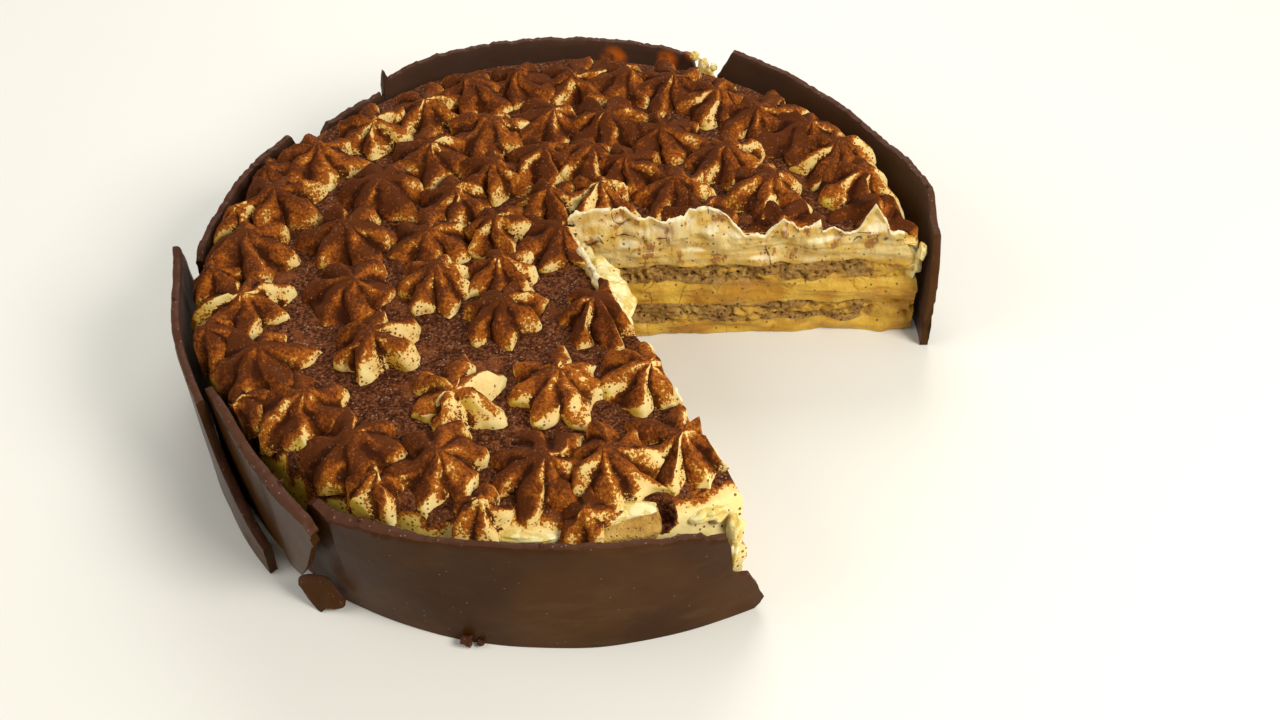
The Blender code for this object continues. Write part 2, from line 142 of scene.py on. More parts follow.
def add_node(tree, kind, settings=None, sockets=None):
    """Add any node: its kind, its settings, and values or links for its sockets."""
    node = tree.nodes.new(kind)
    for name, value in (settings or {}).items():
        setattr(node, name, value)
    for name, value in (sockets or {}).items():
        feed(tree, node.inputs[name], value)
    return node


class Finish:
    """A finish that is being mixed: a material, and the patterns that it is made of."""

    def __init__(self, name, roughness=0.5, subsurface=0.0, reach=0.0, specular=0.5):
        self.material = bpy.data.materials.new(name)
        self.material.use_nodes = True
        self.tree = self.material.node_tree
        self.shader = self.tree.nodes["Principled BSDF"]
        self.place = self.node("ShaderNodeTexCoord").outputs["Object"]
        self.shader.inputs["Roughness"].default_value = roughness
        self.shader.inputs["Specular IOR Level"].default_value = specular
        self.shader.inputs["Subsurface Weight"].default_value = subsurface
        self.shader.inputs["Subsurface Scale"].default_value = reach
        self.shader.inputs["Subsurface Radius"].default_value = SOFT_SPREAD

    def node(self, kind, settings=None, sockets=None):
        return add_node(self.tree, kind, settings, sockets)

    def maths(self, operation, *terms):
        node = self.node("ShaderNodeMath", {"operation": operation}, dict(enumerate(terms)))
        return Value(self, node.outputs[0])

    def ease(self, value, low, high):
        """Rise smoothly from 0 to 1 while the value goes from low to high."""
        sockets = {"Value": value, "From Min": low, "From Max": high}
        node = self.node("ShaderNodeMapRange", {"interpolation_type": "SMOOTHSTEP"}, sockets)
        return Value(self, node.outputs["Result"])

    def stretched(self, x, y, z, turn=0.0):
        """Give the place on the piece with each direction stretched, for a pattern with a grain."""
        sockets = {"Vector": self.place, "Scale": (x, y, z), "Rotation": (0.0, 0.0, math.radians(turn))}
        return self.node("ShaderNodeMapping", {"vector_type": "POINT"}, sockets).outputs["Vector"]

    def cloud(self, size, detail=2.0, rough=0.5, place=None):
        """Give soft patches about the given size in metres, from 0 to 1 with 0.5 as the mean."""
        sockets = {"Vector": place or self.place, "Scale": 1.0 / size, "Detail": detail, "Roughness": rough}
        return Value(self, self.node("ShaderNodeTexNoise", {}, sockets).outputs["Fac"])

    def cells(self, size, place=None):
        """Give the distance from the middles of scattered cells, and a random number for each."""
        node = self.node("ShaderNodeTexVoronoi", {}, {"Vector": place or self.place, "Scale": 1.0 / size})
        lot = self.node("ShaderNodeSeparateColor", {}, {"Color": node.outputs["Color"]})
        return Value(self, node.outputs["Distance"]), Value(self, lot.outputs[0])

    def facing(self, direction):
        """Give how squarely the surface faces a direction: 1 when it does, 0 when side on."""
        normal = self.node("ShaderNodeNewGeometry").outputs["Normal"]
        node = self.node("ShaderNodeVectorMath", {"operation": "DOT_PRODUCT"}, {0: normal, 1: direction})
        return Value(self, node.outputs["Value"])

    def height(self):
        parts = self.node("ShaderNodeSeparateXYZ", {}, {"Vector": self.place})
        return Value(self, parts.outputs["Z"])

    def radius(self):
        parts = self.node("ShaderNodeSeparateXYZ", {}, {"Vector": self.place})
        across = Value(self, parts.outputs["X"]) - MOVED[0]
        back = Value(self, parts.outputs["Y"]) - MOVED[1]
        return self.maths("SQRT", across * across + back * back)

    def painted(self, name):
        """Read what was painted on the mesh's points under this name."""
        return Value(self, self.node("ShaderNodeAttribute", {"attribute_name": name}).outputs["Fac"])

    def blend(self, amount, first, second):
        """Mix two colours."""
        settings = {"data_type": "RGBA", "clamp_factor": True}
        return self.node("ShaderNodeMix", settings, {0: amount, 6: first, 7: second}).outputs[2]

    def ramp(self, value, stops):
        """Turn a number into a colour by a list of (number, colour) stops."""
        node = self.node("ShaderNodeValToRGB", {}, {"Fac": value})
        band = node.color_ramp
        for number, (at, colour) in enumerate(stops):
            stop = band.elements[number] if number < 2 else band.elements.new(at)
            stop.position = at
            stop.color = (*colour, 1.0)
        return node.outputs["Color"]

    def done(self, colour, roughness=None, relief=None, depth=0.0002, strength=1.0):
        """Give the shader its colour, its roughness and the small relief of its surface."""
        feed(self.tree, self.shader.inputs["Base Color"], colour)
        if roughness is not None:
            feed(self.tree, self.shader.inputs["Roughness"], roughness)
        if relief is not None:
            sockets = {"Height": relief, "Distance": depth, "Strength": strength}
            bump = self.node("ShaderNodeBump", {}, sockets)
            feed(self.tree, self.shader.inputs["Normal"], bump.outputs["Normal"])
        return self.material


def polar(radius, degrees, height=0.0):
    """Turn a distance and a direction round the cake into a point."""
    angle = math.radians(degrees)
    return Vector((radius * math.cos(angle), radius * math.sin(angle), height))


def unevenness(x, y, layer, size):
    """Give a smooth value between about -1 and 1 that wanders over the given size."""
    return 2.0 * noise.noise(Vector((x / size, y / size, 7.3 * layer)))


def shift(place, size):
    """Give a smooth sideways wander, up to about 1 each way, that changes over the given size."""
    return Vector([noise.noise(place / size + Vector((17.3 * axis, 0.0, 9.1))) for axis in range(3)])


def rise(value, low, high):
    """Rise smoothly from 0 to 1 while the value goes from low to high."""
    share = min(1.0, max(0.0, (value - low) / (high - low)))
    return share * share * (3.0 - 2.0 * share)


def along(line, where):
    """Read every value of a line of (position, value, ...) rows at one position."""
    if where <= line[0][0]:
        return line[0][1:]
    for low, high in zip(line, line[1:]):
        if where <= high[0]:
            share = (where - low[0]) / (high[0] - low[0])
            return tuple(a + share * (b - a) for a, b in zip(low[1:], high[1:]))
    return line[-1][1:]


def interface(level, degrees, radius):
    """Give the height where two layers meet, with the waves of a spatula and of the sponge."""
    point = polar(radius, degrees)
    broad = 0.0005 * unevenness(point.x, point.y, level * 1000, 0.022)
    fine = 0.0005 * unevenness(point.x, point.y, level * 1000 + 5, 0.0060)
    return level + broad + fine


def add_object(name, data):
    """Put a new object with this data into the scene."""
    made = bpy.data.objects.new(name, data)
    bpy.context.scene.collection.objects.link(made)
    return made


def new_piece(name, points, faces, material, crease=40):
    """Make a smooth piece from points and faces."""
    mesh = bpy.data.meshes.new(name)
    mesh.from_pydata([tuple(point) for point in points], [], faces)
    mesh.materials.append(material)
    piece = add_object(name, mesh)
    soften(mesh, crease)
    return piece


def soften(mesh, crease):
    mesh.validate()
    mesh.shade_smooth()
    mesh.set_sharp_from_angle(angle=math.radians(crease))


def rings(points, around, start, end):
    """Join rings of points into a solid, closed by one point before and one after them."""
    faces = []
    count = len(points)
    last = count - around
    for step in range(around):
        after = (step + 1) % around
        faces.append((count, after, step))
        faces.append((last + step, last + after, count + 1))
        for row in range(0, last, around):
            faces.append((row + step, row + after, row + around + after, row + around + step))
    return points + [start, end], faces


def turned_points(section):
    """Turn a section about the centre line and close it at both poles."""
    points = []
    for at in section[1:-1]:
        for column in range(COLUMNS):
            degrees = 360.0 * column / COLUMNS
            radius, height = at(degrees)
            points.append(polar(radius, degrees, height))
    poles = [Vector((0.0, 0.0, at(0.0)[1])) for at in (section[0], section[-1])]
    return rings(points, COLUMNS, *poles)


def in_band(height, distance, seed):
    """Tell how deep inside a sheet of sponge a point of a cut face lies, from 0 to 1."""
    ragged = 0.0006 * unevenness(distance, 0.0, 51 + seed, 0.0045)
    best = 0.0
    for low, high in (("cream_base", "sponge_lower"), ("cream_middle", "sponge_upper")):
        bottom = LAYER_TOPS[low] + ragged
        top = LAYER_TOPS[high] + ragged
        best = max(best, min(1.0, (height - bottom) / 0.0006, (top - height) / 0.0006))
    return max(0.0, best)


def cut_offset(distance, height, side):
    """Give how far a cut face wanders sideways: broad waves, knife drags, and the torn sponge."""
    broad = 0.0009 * unevenness(distance, 2.2 * height, 20 + side, 0.011)
    drag = 0.00026 * unevenness(0.16 * distance, height, 30 + side, 0.0012)
    lump = 0.00030 * unevenness(distance, height, 33 + side, 0.0042)
    sponge = in_band(height, distance, side)
    hole = max(0.0, unevenness(distance, height, 40 + side, 0.0017) - 0.15)
    crumb = 0.00026 * unevenness(distance, height, 44 + side, 0.0008)
    torn = sponge * (0.0005 + 0.0013 * hole + crumb)
    lip = CUT_LIP * rise(distance, CUT_LIP_FROM, CUT_LIP_FROM + 0.002) if side < 0 else 0.0
    return (broad + drag + lump + torn) * min(1.0, distance / 0.004) - lip


def gap_shape():
    """Make the space of the missing wedge, whose two faces carry the cuts' relief."""
    heights = [-0.005, *np.linspace(-0.0005, CUT_TOP, CUT_ROWS), *CUT_ABOVE]
    rows = len(heights)
    points = [Vector((*CUT_POINT, height)) for height in heights]
    faces = []
    walls = []
    for side, degrees in ((1, BACK_CUT), (-1, FRONT_CUT)):
        columns = [list(range(rows))]
        forward = polar(1.0, degrees)
        outwards = polar(1.0, degrees + 90 * side)
        for step in range(1, CUT_COLUMNS + 1):
            distance = CUT_LENGTH * step / CUT_COLUMNS
            first = len(points)
            for height in heights:
                place = Vector((*CUT_POINT, height)) + forward * distance
                points.append(place + outwards * cut_offset(distance, height, side))
            columns.append(list(range(first, first + rows)))
        for near, far in zip(columns, columns[1:]):
            for row in range(rows - 1):
                corners = (near[row], far[row], far[row + 1], near[row + 1])
                faces.append(corners if side < 0 else corners[::-1])
        walls.append(columns)
    back, front = walls
    for row in range(rows - 1):
        faces.append((front[-1][row], back[-1][row], back[-1][row + 1], front[-1][row + 1]))
    floor = [column[0] for column in front] + [column[0] for column in reversed(back[1:])]
    roof = [column[-1] for column in back] + [column[-1] for column in reversed(front[1:])]
    faces += [floor[::-1], roof[::-1]]
    return points, faces


def carve(piece, tool, crease=40, inside=None):
    """Cut one solid out of another. The cut faces take the inside material, where one is given."""
    tool.data.materials[0] = inside or piece.data.materials[0]
    before = len(piece.data.polygons)
    for solver in ("MANIFOLD", "EXACT"):  # the second is for what the first leaves uncut
        cut = piece.modifiers.new("carve", "BOOLEAN")
        cut.operation = "DIFFERENCE"
        cut.solver = solver
        cut.material_mode = "TRANSFER"
        cut.object = tool
        graph = bpy.context.evaluated_depsgraph_get()
        mesh = bpy.data.meshes.new_from_object(piece.evaluated_get(graph))
        piece.modifiers.remove(cut)
        if len(mesh.polygons) not in (0, before):
            break
    old = piece.data
    mesh.name = old.name
    piece.data = mesh
    bpy.data.meshes.remove(old)
    soften(mesh, crease)
    return piece


def place_on_cake(piece, slot, *nodes):
    """Fix a finished piece to the cake and hide the plain solids it stands for."""
    piece.data.transform(Matrix.Translation(MOVED))
    if nodes:
        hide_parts(*nodes)
    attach(piece, "root")


def cut_cream_finish():
    """Mix cream at a cut: deep yellow and dragged along, ivory with cocoa streaks at the torn top, and paler
    with painted light where it faces up.
    """
    cream = Finish("cut_mascarpone_cream", 0.40, 0.20, 0.004, 0.4)
    broad = cream.cloud(0.011, 3.0)
    patch = cream.cloud(0.0065, 3.0)
    drag = cream.cloud(0.0042, 4.0, 0.62, cream.stretched(0.22, 0.22, 1.0))
    low = cream.blend(cream.ease(broad + (drag - 0.5) * 0.8, 0.38, 0.66), CUT_CREAM, CUT_CREAM_DEEP)
    stain = cream.cloud(0.0075, 4.0, 0.65, cream.stretched(0.30, 0.30, 1.0))
    stained = cream.ease(stain + (cream.cloud(0.020) - 0.5) * 0.7, 0.54, 0.72)
    low = cream.blend(stained * 0.66, low, SMEAR)

    high = cream.blend(cream.ease(patch + (broad - 0.5) * 0.6, 0.42, 0.62), TORN_IVORY, TORN_YELLOW)
    grey = cream.ease(cream.cloud(0.009, 2.0, 0.5, cream.stretched(1.0, 1.0, 0.8, 40)), 0.58, 0.70)
    high = cream.blend(grey * 0.55, high, TORN_GREY)
    streak = cream.cloud(0.0030, 5.0, 0.74, cream.stretched(1.0, 1.0, 0.42, 15))
    streaked = cream.ease(streak + (patch - 0.5) * 0.5, 0.570, 0.615)
    high = cream.blend(streaked * 0.85, high, TORN_STREAK)
    # Painted shade: dark lines where the torn cream cracks.
    bend = cream.cloud(0.0150, 2.0, 0.5, cream.stretched(1.0, 1.0, 0.45, 25))
    crack = 1.0 - cream.ease(cream.maths("ABSOLUTE", bend - 0.5), 0.003, 0.011)
    crack = crack * cream.ease(cream.cloud(0.007), 0.45, 0.55)
    high = cream.blend(crack * 0.90, high, TORN_CRACK_SHADE)
    # Painted light: faces of the torn cream that turn upwards are made paler.
    lip = cream.ease(cream.facing((0.0, 0.0, 1.0)), 0.25, 0.70)
    high = cream.blend(lip * 0.75, high, TORN_TOP_PAINTED_LIGHT)

    torn = cream.ease(cream.height() + (broad - 0.5) * 0.010, 0.0248, 0.0272)
    body = cream.blend(torn, low, high)
    distance, lot = cream.cells(0.0014)
    speck = (distance < 0.24) * (lot + cream.ease(cream.cloud(0.006), 0.45, 0.65) * torn * 0.30 > 0.80)
    body = cream.blend(speck * 0.85, body, CRUMB_SPECK)
    rough = cream.cloud(0.003) * 0.4 + 0.22
    relief = cream.cloud(0.0016, 4.0, 0.6) + drag * (1.0 - torn * 0.8) * 1.1
    relief = relief + cream.cloud(0.0046, 3.0) * torn * 1.3 + streak * 0.4 - crack * 0.9
    return cream.done(body, rough, relief, 0.0007, 0.7)


def sponge_finish():
    """Mix coffee-soaked sponge: open pores, wet brown where the coffee sank in, cream in its holes."""
    sponge = Finish("soaked_sponge", 0.75, 0.06, 0.002)
    wet = sponge.cloud(0.010, 3.0)
    crumb = sponge.cloud(0.0011, 3.0, 0.65)
    body = sponge.ramp(crumb * 1.1 + wet * 0.7 - 0.40, (
        (0.22, SPONGE_WET), (0.44, SPONGE), (0.60, SPONGE_PALE), (0.80, SPONGE_DRY),
    ))
    distance, lot = sponge.cells(0.0014)
    pore = (1.0 - sponge.ease(distance, 0.10, 0.34)) * (lot > 0.45)
    # Painted shade inside the sponge's pores.
    body = sponge.blend(pore * 0.85, body, SPONGE_PORE_SHADE)
    smear = sponge.cloud(0.0060, 4.0, 0.62, sponge.stretched(0.40, 0.40, 1.0))
    rim = sponge.ease(sponge.radius() + (sponge.cloud(0.0038, 3.0) - 0.5) * 0.016, 0.0800, 0.0835)
    smeared = sponge.maths("MAXIMUM", sponge.ease(smear, 0.56, 0.63), rim)
    body = sponge.blend(smeared * 0.90, body, sponge.blend(crumb, CUT_CREAM_DEEP, CUT_CREAM))
    relief = crumb * 0.7 - pore * (1.0 - smeared)
    return sponge.done(body, 0.80 - wet * 0.35, relief, 0.0009, 1.0)


def layer_ring(level, share):
    """Give a ring of a section: where two layers meet, or the flat foot where there is no level."""
    radius = CORE_RADIUS * share
    if level is None:
        return lambda degrees: (radius, 0.0)
    return lambda degrees: (radius, interface(level, degrees, radius))


def core_layer(name, bottom, top, material):
    """Spread one layer of the core and cut it."""
    shares = np.linspace(0.0, 1.0, CORE_RINGS)
    section = [layer_ring(bottom, share) for share in shares]
    section += [layer_ring(top, share) for share in shares[::-1]]
    layer = new_piece(name, *turned_points(section), material, 40)
    return carve(layer, gap, 55)


cut_cream = cut_cream_finish()
sponge = sponge_finish()
gap = new_piece("gap", *gap_shape(), cut_cream)
level = None
for layer_name, layer_top in LAYER_TOPS.items():
    is_sponge = layer_name.startswith("sponge")
    made = core_layer(layer_name + "_cut", level, layer_top, sponge if is_sponge else cut_cream)
    place_on_cake(made, "sponge" if is_sponge else "cream", layer_name)
    level = layer_top


# The coat. The same cream is spread over the core and down its side with a palette knife, rounded
# off at the shoulder, and sieved with cocoa: dark on the flat top and in every hollow, thin and
# rusty on slopes, and missing from what stands upright or turns away from the sieve. Painted shade
# darkens the valleys between star petals and the walls of the hollow and the crack in the front
# shoulder, and the bare cream carries painted light and shade.
COAT_SIDE = (
    (0, 0.0952), (60, 0.0944), (126, 0.0944), (170, 0.0948), (184, 0.0966), (195, 0.0976), (203, 0.0972),
    (208, 0.0952), (213, 0.0952), (224, 0.0963), (265, 0.0964), (294, 0.0961), (360, 0.0952),
)
SHOULDER = 0.0036
SLUMP = 0.0044
SLUMP_WIDTH = 28
SLOPE_AT = 277
SLOPE_WIDTH = 24
SLOPE_DROP = 0.0024
DUST_FROM = (-0.34, 0.26, 0.90)
LIT_FROM = (0.62, -0.45, 0.64)
CREAM_LIT = (0.79, 0.60, 0.14)
CREAM_STAINED = (0.72, 0.37, 0.055)
COCOA_GRAIN = (0.17, 0.026, 0.0040)
COCOA_GLINT = (0.40, 0.26, 0.19)
# Painted shade for the deepest valleys between star petals.
PAINTED_VALLEY_SHADE = (0.028, 0.0060, 0.0012)
COCOA_DARK = (0.096, 0.0240, 0.0046)
COCOA = (0.200, 0.050, 0.0066)
COCOA_RUST = (0.420, 0.118, 0.0120)
COCOA_THIN = (0.62, 0.290, 0.030)
FLOOR_DARK = (0.024, 0.0066, 0.0020)
FLOOR = (0.084, 0.0240, 0.0082)
FLOOR_LIGHT = (0.215, 0.080, 0.032)
FLOOR_RUST = (0.24, 0.070, 0.017)
# A hollow and a thin crack in the front shoulder: where each lies and its half sizes. Their walls are painted
# as dark as the heaviest cocoa, as painted shade.
HOLLOW_PLACE = (0.0908, 284.2, 0.0348)
HOLLOW_CLEAR = 0.0052
HOLES = ((HOLLOW_PLACE, (0.0044, 0.0035, 0.0054)), ((0.0945, 290.6, 0.0322), (0.0006, 0.0026, 0.0006)))


def side_radius(degrees, height):
    """Give the coat's outer radius: uneven, rounded off at the top and slumped beside the cut."""
    share = height / CAKE_HEIGHT
    turn = (degrees + 180) % 360 - 180
    slumped = SHOULDER + SLUMP * math.exp(-((turn / SLUMP_WIDTH) ** 2))
    radius = along(COAT_SIDE, degrees % 360)[0]
    point = polar(radius, degrees)
    ripple = 0.0003 * unevenness(point.x, point.y, 30 * height, 0.015) - 0.0004
    knife = 0.0002 * unevenness(point.x, point.y, 220 * height, 0.006)
    return radius + ripple + knife - slumped * share**4


def top_drop(degrees, radius):
    """Give how far the top slopes down towards the front rim."""
    front = math.exp(-(((degrees - SLOPE_AT) / SLOPE_WIDTH) ** 2))
    return SLOPE_DROP * front * rise(radius, 0.079, 0.0945)


def coat_section():
    """Run a section under the top cream, down inside the coat, up its side and over the top."""

    def side(share):
        height = 0.034 * share
        return lambda degrees: (side_radius(degrees, height), height - 0.9 * share * top_drop(degrees, 0.095))

    def top(inwards, drop, share=1.0):
        def at(degrees):
            radius = (side_radius(degrees, CAKE_HEIGHT) - inwards) * share
            place = polar(radius, degrees)
            broad = 0.0004 * unevenness(place.x, place.y, 3, 0.020)
            fine = 0.00030 * unevenness(place.x, place.y, 8, 0.0050)
            return radius, CAKE_HEIGHT + 0.0002 + broad + fine - top_drop(degrees, radius) - drop

        return at

    level = LAYER_TOPS["sponge_upper"]
    section = [layer_ring(level, share) for share in np.linspace(0.0, 1.0, CORE_RINGS)]
    section.append(layer_ring(None, 1.0))
    section += [side(share) for share in np.linspace(0.0, 1.0, 24)]
    section += [top(0.0, 0.0007), top(0.0009, 0.0003), top(0.0020, 0.0001)]
    section += [top(0.0030, 0.0, share) for share in np.linspace(1.0, 0.0, 70)]
    return section


def dusted_finish():
    """Mix cream under sieved cocoa. Grains and gaps break up the cover where it is thin. Painted light and
    shade colour the bare cream, and painted shade deepens the star valleys.
    """
    dust = Finish("cocoa_on_cream", 0.6, 0.12, 0.003, 0.08)
    patch = dust.cloud(0.0075, 2.0)
    fine = dust.cloud(0.0024, 3.0, 0.6)
    grain = dust.cloud(0.00075, 2.0, 0.7)
    slope = dust.ease(dust.facing(DUST_FROM), -0.14, 1.00)
    layer = slope * 0.98 + dust.painted("hollow") * 0.30 + (patch - 0.5) * 0.80 + (fine - 0.5) * 0.70
    layer = layer - dust.painted("thin") * 0.45 - 0.05
    cover = layer + (grain - 0.5) * 1.30

    # Painted light and shade on the bare cream: ivory where it faces the key light, deep yellow where it turns
    # away.
    lit = dust.ease(dust.facing(LIT_FROM) + (dust.cloud(0.006) - 0.5) * 0.5, 0.05, 0.75)
    bare = dust.ramp(lit, ((0.0, CREAM_SHADE), (0.5, CREAM_LIT), (1.0, CREAM)))
    bare = dust.blend(dust.ease(layer, -0.30, 0.30) * 0.55, bare, CREAM_STAINED)
    distance, lot = dust.cells(0.0010)
    speck = (distance < lot * 0.38) * (lot + dust.ease(layer, -0.40, 0.25) * 0.36 > 0.76)
    bare = dust.blend(speck * 0.9, bare, COCOA_GRAIN)
    powder = dust.ramp(cover, (
        (0.20, COCOA_THIN), (0.38, COCOA_RUST), (0.68, COCOA), (0.92, COCOA_DARK),
    ))
    # Painted shade: the deepest parts of the valleys between star petals are darkened beyond the darkest
    # cocoa.
    valley_shade = dust.ease(dust.painted("hollow") + (fine - 0.5), 0.50, 0.95)
    powder = dust.blend(valley_shade * 0.80, powder, PAINTED_VALLEY_SHADE)
    crumb = dust.cloud(0.00085, 3.0, 0.8)
    ground = dust.ramp(crumb + (fine - 0.5) * 0.3, ((0.38, FLOOR_DARK), (0.51, FLOOR), (0.64, FLOOR_LIGHT)))
    ground = dust.blend(dust.ease(patch, 0.54, 0.70) * 0.55, ground, FLOOR_RUST)
    flat = dust.painted("floor") * dust.ease(cover, 0.45, 0.75)
    powder = dust.blend(flat, powder, ground)
    glint_distance, glint_lot = dust.cells(0.00085)
    glint = (glint_distance < 0.30) * (glint_lot > 0.84) * dust.ease(cover, 0.55, 0.9)
    powder = dust.blend(glint * (dust.painted("floor") * 0.35 + 0.20), powder, COCOA_GLINT)

    colour = dust.blend(dust.ease(cover, 0.20, 0.28), bare, powder)
    rough = dust.ease(cover, 0.15, 0.40) * 0.50 + 0.42
    relief = grain * dust.ease(cover, 0.15, 0.5) + dust.cloud(0.0018, 3.0) * 0.6
    return dust.done(colour, rough, relief, 0.00045, 0.9)


def paint(piece, name, values):
    """Paint one number on each point of a piece."""
    layer = piece.data.attributes.get(name) or piece.data.attributes.new(name, "FLOAT", "POINT")
    layer.data.foreach_set("value", np.asarray(values, np.float32))


def ball_shape(middle, heading, size, seed=0, lumps=0.0, around=28):
    """Make a lumpy ball stretched to its three half sizes, the first of them along its heading."""
    turning = Matrix.Rotation(math.radians(heading), 3, "Z")
    points = []
    count = around // 2
    for ring in range(1, count):
        angle = math.pi * ring / count
        for step in range(around):
            raw = polar(math.sin(angle), 360.0 * step / around, -math.cos(angle))
            grown = 1.0 + lumps * 2.0 * noise.noise(raw / 0.6 + Vector((seed, 0.0, 0.0)))
            points.append(middle + turning @ Vector([side * part * grown for side, part in zip(size, raw)]))
    poles = []
    for end in (-1.0, 1.0):
        grown = 1.0 + lumps * 2.0 * noise.noise(Vector((seed, 0.0, end / 0.6)))
        poles.append(middle + turning @ Vector((0.0, 0.0, end * size[2] * grown)))
    return rings(points, around, *poles)


def dusting(point):
    """Give how much cocoa is missing at a point of the coat, or how much more of it there is. In the hollow
    and the crack it gives the heaviest cover, as painted shade.
    """
    radius = point.xy.length
    degrees = math.degrees(math.atan2(point.y, point.x)) % 360
    wander = 0.0016 * unevenness(point.x, point.y, 71, 0.0035)
    front = rise(degrees, 256, 266) * (1.0 - rise(degrees, 297, 301))
    left = rise(degrees, 196, 208) * (1.0 - rise(degrees, 246, 258))
    bare = 1.5 * front * rise(radius + wander, 0.0880, 0.0900)
    bare = max(bare, 1.2 * rise(radius + wander, 0.0925, 0.0940))
    bare -= 2.4 * left * (1.0 - rise(radius + wander, 0.0938, 0.0952))
    # Painted shade: inside the hollow and the crack the cover is made as dark as it goes.
    for place, size in HOLES:
        away = Matrix.Rotation(-math.radians(place[1]), 3, "Z") @ (point - polar(*place))
        inside = Vector([part / side for part, side in zip(away, size)]).length
        if inside < 1.12:
            return -2.2
    return bare


dusted = dusted_finish()
coat = new_piece("cream_coat", *turned_points(coat_section()), dusted)
coat = carve(coat, gap, 50, cut_cream)
for place, size in HOLES:
    poke = new_piece("poke", *ball_shape(polar(*place), place[1], size, 3, 0.22), dusted)
    coat = carve(coat, poke, 50)
    bpy.data.objects.remove(poke)
paint(coat, "thin", [dusting(vertex.co) for vertex in coat.data.vertices])
paint(coat, "floor", [1.0] * len(coat.data.vertices))
place_on_cake(coat, "dusted_cream", "cream_top")


# The piped stars. A star nozzle is pressed down and drawn up for each, so every star has five to
# seven fat ridged petals, steep at their ends, round a raised middle. They stand in rings, and those
# at the rim droop over the shoulder. The wedge took some away, and the knife halved others.
# Each row of stars: its distance from the middle, the stars' radius, and the direction of each.
STAR_ROWS = (
    (0.0035, 0.0122, (147,)),
    (0.0195, 0.0116, (214, 161, 106, 66)),
    (0.0285, 0.0124, (289, 238)),
    (0.0365, 0.0122, (203, 174, 148, 124, 102, 82, 62, 38, 14)),
    (0.0515, 0.0140, (291, 269)),
    (0.0575, 0.0140, (245, 218, 196, 175, 154, 134, 115, 97, 79, 60, 40, 22, 6)),
    (0.0775, 0.0140, (291, 279, 267, 250)),
    (0.0820, 0.0142, (236, 223, 209, 194, 180, 165, 151, 137, 124, 112)),
    (0.0820, 0.0142, (101, 90, 79, 68, 57, 46, 35, 25, 16, 6)),
    (0.0900, 0.0084, (274, 259, 243, 216, 201, 187, 171, 158)),
)
ROW_SHIFT = (
    (0, 0.0), (30, -0.0010), (50, -0.0056), (120, -0.0066), (150, -0.0020), (190, 0.0), (205, 0.0022),
    (245, 0.0028), (255, 0.0), (360, 0.0),
)
SMALL_STAR = 0.0090
STAR_HEIGHT = 0.0076
STAR_TOP = 0.0428
STAR_SEED = 11
THIN_STARS = {(0.0515, 269): 0.46, (0.0575, 245): 0.62, (0.0515, 291): 0.40, (0.0775, 291): 0.20}
VARIANTS = 5
PETAL_STEPS = 14
CREST_LINE = (
    (0.00, 1.00), (0.08, 0.99), (0.18, 0.95), (0.32, 0.88), (0.46, 0.80), (0.60, 0.71), (0.73, 0.60),
    (0.84, 0.47), (0.92, 0.33), (0.97, 0.18), (1.00, 0.03), (0.99, -0.26),
)
VALLEY_LINE = (
    (0.00, 1.00), (0.08, 0.96), (0.17, 0.87), (0.27, 0.74), (0.37, 0.60), (0.46, 0.47), (0.54, 0.35),
    (0.60, 0.24), (0.65, 0.14), (0.68, 0.05), (0.69, -0.06), (0.69, -0.26),
)


def star_shape(petals, seed):
    """Pipe one star of radius 1 and height 1, whose petals are not quite alike."""
    draw = random.Random(seed)
    angles = [360.0 * petal / petals + draw.uniform(-5.0, 5.0) for petal in range(petals)]
    reach = [draw.uniform(0.84, 1.10) for _ in range(petals)]
    lift = [draw.uniform(0.72, 1.14) for _ in range(petals)]
    lean = draw.uniform(-0.35, 0.35)
    skew = [lean + draw.uniform(-0.15, 0.15) for _ in range(petals)]
    keel = draw.uniform(0.15, 0.45)
    notch = draw.uniform(0.88, 1.04)
    twist = draw.uniform(-22.0, 22.0)
    bend = polar(draw.uniform(0.03, 0.13), draw.uniform(0.0, 360.0))
    points = []
    hollow = []
    for row in range(1, len(CREST_LINE)):
        for petal in range(petals):
            for step in range(PETAL_STEPS):
                across = 2.0 * step / PETAL_STEPS - 1.0
                towards = 1 if across > 0 else -1
                half = ((angles[(petal + towards) % petals] - angles[petal]) * towards) % 360.0 / 2.0
                ridge = skew[petal]
                away = (across - ridge) / (1.0 - ridge) if across > ridge else (ridge - across) / (1.0 + ridge)
                fall = keel * away + (1.0 - keel) * math.sin(math.pi / 2 * away) ** 2
                pull = away**1.1
                crest_radius, crest_height = CREST_LINE[row]
                valley_radius, valley_height = VALLEY_LINE[row]
                radius = reach[petal] * crest_radius * (1.0 - pull) + notch * valley_radius * pull
                tall = crest_height * (lift[petal] if 0.0 < crest_height < 0.92 else 1.0)
                height = tall * (1.0 - fall) + valley_height * fall
                degrees = angles[petal] + across * half + twist * (1.0 - radius)
                point = polar(radius, degrees, height)
                points.append(point + bend * max(0.0, height) ** 2)
                hollow.append((1.25 * fall - 0.25) * min(1.0, radius / 0.30))
    poles = (bend + Vector((0.0, 0.0, 1.02)), Vector((0.0, 0.0, -0.26)))
    points, faces = rings(points, petals * PETAL_STEPS, *poles)
    return points, [face[::-1] for face in faces], hollow + [0.0, 0.0]


def piped_star(number):
    """Pipe one of the different stars: those with five petals come first, then six, then seven."""
    points, faces, hollow = star_shape(5 + number // VARIANTS, 40 + number)
    star = new_piece(f"star_{number:02d}", points, faces, dusted)
    paint(star, "hollow", hollow)
    return star


def keep_together(name, pieces):
    """Move pieces out of the scene into a group, numbered as the points that call for them."""
    group = bpy.data.collections.new(name)
    for piece in pieces:
        bpy.context.scene.collection.objects.unlink(piece)
        group.objects.link(piece)
    return group


